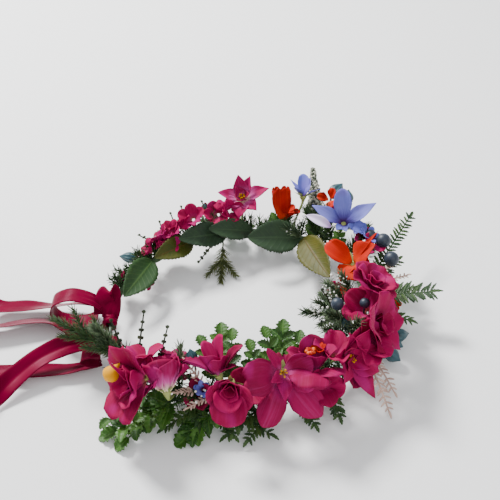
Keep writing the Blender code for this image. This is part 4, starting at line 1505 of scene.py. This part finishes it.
# %% Small heads: place, direction, petals, size and width in mm
TUCKED = {
    "magenta": (magenta, "magenta_petal", [
        ((-57, -84, 30), (-0.3, -0.4, 0.9), 4, 19, 17),
        ((-60, -72, 34), (0.0, 0.5, 0.8), 3, 17, 14),
        ((8, -88, 30), (-0.1, -0.6, 0.8), 4, 17, 15),
        ((52, -82, 26), (0.3, -0.7, 0.6), 5, 17, 15),
        ((62, -68, 36), (0.1, 0.2, 1.0), 4, 18, 16),
        ((82, -56, 34), (0.5, -0.3, 0.8), 5, 20, 18),
        ((88, -26, 36), (-0.3, -0.2, 0.9), 5, 20, 18),
        ((94, -12, 30), (0.6, -0.2, 0.7), 4, 17, 15),
        ((78, 8, 28), (-0.8, -0.4, 0.4), 3, 14, 11),
        ((76, 86, 34), (-0.2, -0.6, 0.7), 3, 12, 9),
        ((98, 46, 34), (0.2, -0.5, 0.8), 3, 11, 8),
    ]),
    "dark": (dark_magenta, "magenta_petal", [
        ((-42, -70, 30), (0.2, 0.5, 0.8), 5, 14, 12),
        ((-22, -84, 20), (-0.3, -0.6, 0.6), 4, 13, 11),
        ((32, -74, 30), (0, 0.3, 0.9), 4, 13, 12),
        ((74, -66, 26), (0.6, -0.6, 0.5), 4, 15, 13),
        ((94, 56, 32), (0.2, -0.5, 0.8), 4, 11, 9),
    ]),
    "cluster": (magenta, "magenta_petal", [
        ((-67, 55, 22), (-0.7, 0.0, 0.6), 5, 11, 9),
        ((-59, 62, 26), (-0.6, 0.3, 0.8), 5, 12, 10),
        ((-51, 66, 30), (-0.4, -0.2, 0.8), 5, 12, 10),
        ((-44, 71, 32), (-0.5, 0.4, 0.8), 5, 11, 9),
        ((-36, 77, 36), (-0.2, -0.4, 0.8), 5, 13, 11),
        ((-52, 58, 27), (0.1, -0.5, 0.8), 4, 8, 7),
        ((-84, 28, 16), (-0.9, 0.2, 0.3), 4, 9, 8),
        ((-72, 34, 12), (0.8, -0.4, 0.2), 4, 8, 7),
        ((-17, 86, 34), (-0.3, -0.6, 0.7), 5, 12, 10),
        ((-8, 88, 36), (0.2, -0.6, 0.6), 4, 11, 9),
    ]),
    "blue": (blue, "blue_petal", [
        ((96, 52, 38), (0.3, -0.2, 0.9), 5, 9, 5),
        ((88, 58, 42), (0.1, -0.5, 0.8), 5, 8, 4),
        ((-22, -86, 26), (-0.1, -0.5, 0.8), 6, 6, 4),
    ]),
    "orange": (orange, "orange_petal", [
        ((52, -70, 44), (-0.2, 0.2, 0.9), 5, 6, 5),
        ((36, 90, 34), (0.2, -0.3, 0.9), 5, 8, 6),
        ((70, 92, 44), (-0.3, -0.4, 0.8), 3, 10, 8),
        ((110, 0, 20), (0.6, -0.4, 0.6), 5, 6, 4),
        ((80, 6, 30), (-0.7, -0.5, 0.3), 3, 15, 7),
        ((-26, 92, 36), (-0.2, -0.4, 0.9), 5, 4, 3),
    ]),
}
for number, (kind, (finish, slot, rows)) in enumerate(TUCKED.items()):
    pile = Pile()
    for k, (spot, way, count, length, width) in enumerate(rows):
        place = aimed(Vector(spot) * MM, Vector(way))
        for j in range(count):
            turn = 360 * j / count + 23 * k
            rise, fall_angle = 25 + 7 * (j % 3), 62 + 9 * (j % 3)
            seed = 500 + 9 * k + j
            petal(pile, place, turn, length, width, rise, fall_angle, 0.35, 0.10, "round", seed)
    pile.finish(f"tucked_{kind}", finish, "crown", slot, thick=LEAF_CLOTH)
print("tucked petals:", sum(row[2] for _, _, rows in TUCKED.values() for row in rows))

# %% One long lilac petal beside the blue flowers
root, tip = Vector((68, 54, 47)) * MM, Vector((50, 62, 52)) * MM
pile = Pile()
leaf(pile, root, tip, Vector((0, -0.6, 0.8)), 0.007, teeth=2, bite=0.0, fold=0.3, droop=0.08)
pile.finish("tucked_lilac", lilac, "crown", "blue_petal", thick=LEAF_CLOTH)
print("lilac petal:", round((tip - root).length, 3), "m long")

# %% [markdown]
# ## Beads
# Stamens, berries and tiny florets are all balls on threads. Hundreds of separate balls would be
# slow to handle, so each kind is piled into one mesh, and each ball keeps its own shade in the chart.

# %% Stamens: how many in each open bloom, and how tall in mm
STAMENS = {
    "bloom_8": (7, 5),
    "bloom_9": (7, 5),
    "bloom_10": (7, 4),
    "bloom_11": (8, 5),
    "bloom_6": (5, 4),
}
pile = Pile()
for name, (count, height) in STAMENS.items():
    heart = HEARTS[name]
    for k in range(count):
        turn = k * GOLDEN
        top = Vector((cos(turn) * 2.2, sin(turn) * 2.2, height + k % 3)) * MM
        thread = [heart @ Vector((0, 0, 1 * MM)), heart @ (top * 0.6), heart @ top]
        pile.rod(thread, [0.0003] * 3, 4, 0.2)
        pile.bead(thread[2], 0.0007, 0.7, 6, 4)
pile.finish("stamens", yellow, "crown", "calyx")
print("stamens:", sum(count for count, _ in STAMENS.values()))

# %% White florets: root and tip of each spike in mm, and how many florets
WHITE_SPIKES = [
    ((72, -16, 30), (58, -6, 44), 26),
    ((60, -22, 30), (48, -18, 36), 22),
    ((-4, 80, 22), (12, 88, 30), 26),
    ((-66, 66, 24), (-34, 84, 38), 18),
    ((-26, -90, 24), (-18, -92, 30), 10),
    ((40, 76, 26), (46, 84, 34), 12),
    ((66, 2, 40), (76, -2, 46), 14),
    ((28, 76, 24), (40, 70, 30), 14),
]
pile = Pile()
for number, (first, last, count) in enumerate(WHITE_SPIKES):
    flecked(pile, Vector(first) * MM, Vector(last) * MM, count, 0.006, 0.0009, seed=900 + number)
pile.finish("white_beads", white, "crown", "sprig")
print("white florets:", sum(count for _, _, count in WHITE_SPIKES))

# %% Loose berries: place and radius in mm, each on a short upright stalk
LOOSE_BERRIES = (((66, -32, 50), 4.4), ((85, -28, 47), 3.6), ((-28, -68, 34), 2.4), ((-46, -76, 22), 2.0))
pile = Pile()
for spot, radius in LOOSE_BERRIES:
    middle = Vector(spot) * MM
    pile.bead(middle, radius * MM, 0.6, 16, 12)
    pile.rod([middle, middle - UP * 0.008, middle - UP * 0.016], [0.0007] * 3, 5, 0.2)
pile.finish("loose_berries", navy, "crown", "navy_berry")
print("loose berries:", len(LOOSE_BERRIES))

# %% Loose teal buds: place, direction, length and width in mm
LOOSE_BUDS = [
    ((-79, 55, 15), (-0.9, 0.1, 0.1), 14, 8),
    ((-28, 92, 32), (0, 0.3, 1), 8, 6),
    ((-29, -69, 33), (-0.2, 0.3, 0.9), 10, 7),
    ((108, -24, 11), (0.8, 0.3, -0.1), 13, 9),
    ((102, -36, 9), (0.7, -0.5, -0.2), 12, 9),
    ((74, -36, 30), (-0.2, 0.2, 0.9), 10, 7),
]
pile = Pile()
for spot, way, length, wide in LOOSE_BUDS:
    scaled_bud(pile, aimed(Vector(spot) * MM, Vector(way)), length, wide, 7)
pile.finish("loose_teal_buds", teal, "crown", "teal_bud", thick=LEAF_CLOTH)
print("loose teal buds:", len(LOOSE_BUDS))

# %% Coral beads in a cluster, and one round bud
CORAL_COUNT = 9
CORAL_MIDDLE = Vector((46, -71, 45))
pile = Pile()
for k in range(CORAL_COUNT):
    turn = k * GOLDEN
    spot = CORAL_MIDDLE + Vector((cos(turn), sin(turn), 0.3 * (k % 3))) * 2.4
    pile.bead(spot * MM, 0.0016, k / CORAL_COUNT, 8, 6)
pile.finish("coral_beads", coral, "crown", "orange_petal")

place = aimed(Vector((-14, 92, 40)) * MM, Vector((-0.3, -0.8, 0.2)))
pile = Pile()
scaled_bud(pile, place, 11, 10, 5)
pile.finish("round_bud", magenta, "crown", "magenta_petal", thick=LEAF_CLOTH)
print("coral beads:", CORAL_COUNT, "and one round bud")

# %% [markdown]
# ## The table and the light
# A pale matte table, one broad soft light from behind on the left and a weak fill keep the petals'
# colours clean and draw the crown's shadow towards the front and the right.

# %% Table
TABLE = 3.0
stone = Finish("table", Roughness=0.8)
cloud = stone.noise(stone.place(), 3.0)
stone.set("Base Color", stone.mix(cloud, (0.86, 0.86, 0.855), (0.88, 0.88, 0.875)))
table_mesh = bpy.data.meshes.new("table")
corners = [(-TABLE, -TABLE, 0), (TABLE, -TABLE, 0), (TABLE, TABLE, 0), (-TABLE, TABLE, 0)]
table_mesh.from_pydata(corners, [], [(0, 1, 2, 3)])
table_mesh.materials.append(stone.material)
table = bpy.data.objects.new("table", table_mesh)
bpy.context.collection.objects.link(table)
print("table", 2 * TABLE, "m wide")


# %% Light
def soft_light(name, place, towards, size, power):
    data = bpy.data.lights.new(name, "AREA")
    data.size = size
    data.energy = power
    lamp = bpy.data.objects.new(name, data)
    lamp.location = place
    lamp.rotation_euler = (Vector(towards) - Vector(place)).to_track_quat("-Z", "Y").to_euler()
    bpy.context.collection.objects.link(lamp)


soft_light("window", (-0.75, 0.85, 1.25), (0, 0, 0), 0.4, 64)
soft_light("fill", (0.6, -1.2, 1.0), (0, 0, 0), 1.2, 8)
world = bpy.data.worlds.new("room")
world.use_nodes = True
sky = world.node_tree.nodes["Background"]
sky.inputs["Color"].default_value = (0.95, 0.97, 1.0, 1.0)
sky.inputs["Strength"].default_value = 0.95
bpy.context.scene.world = world
print("lights set")
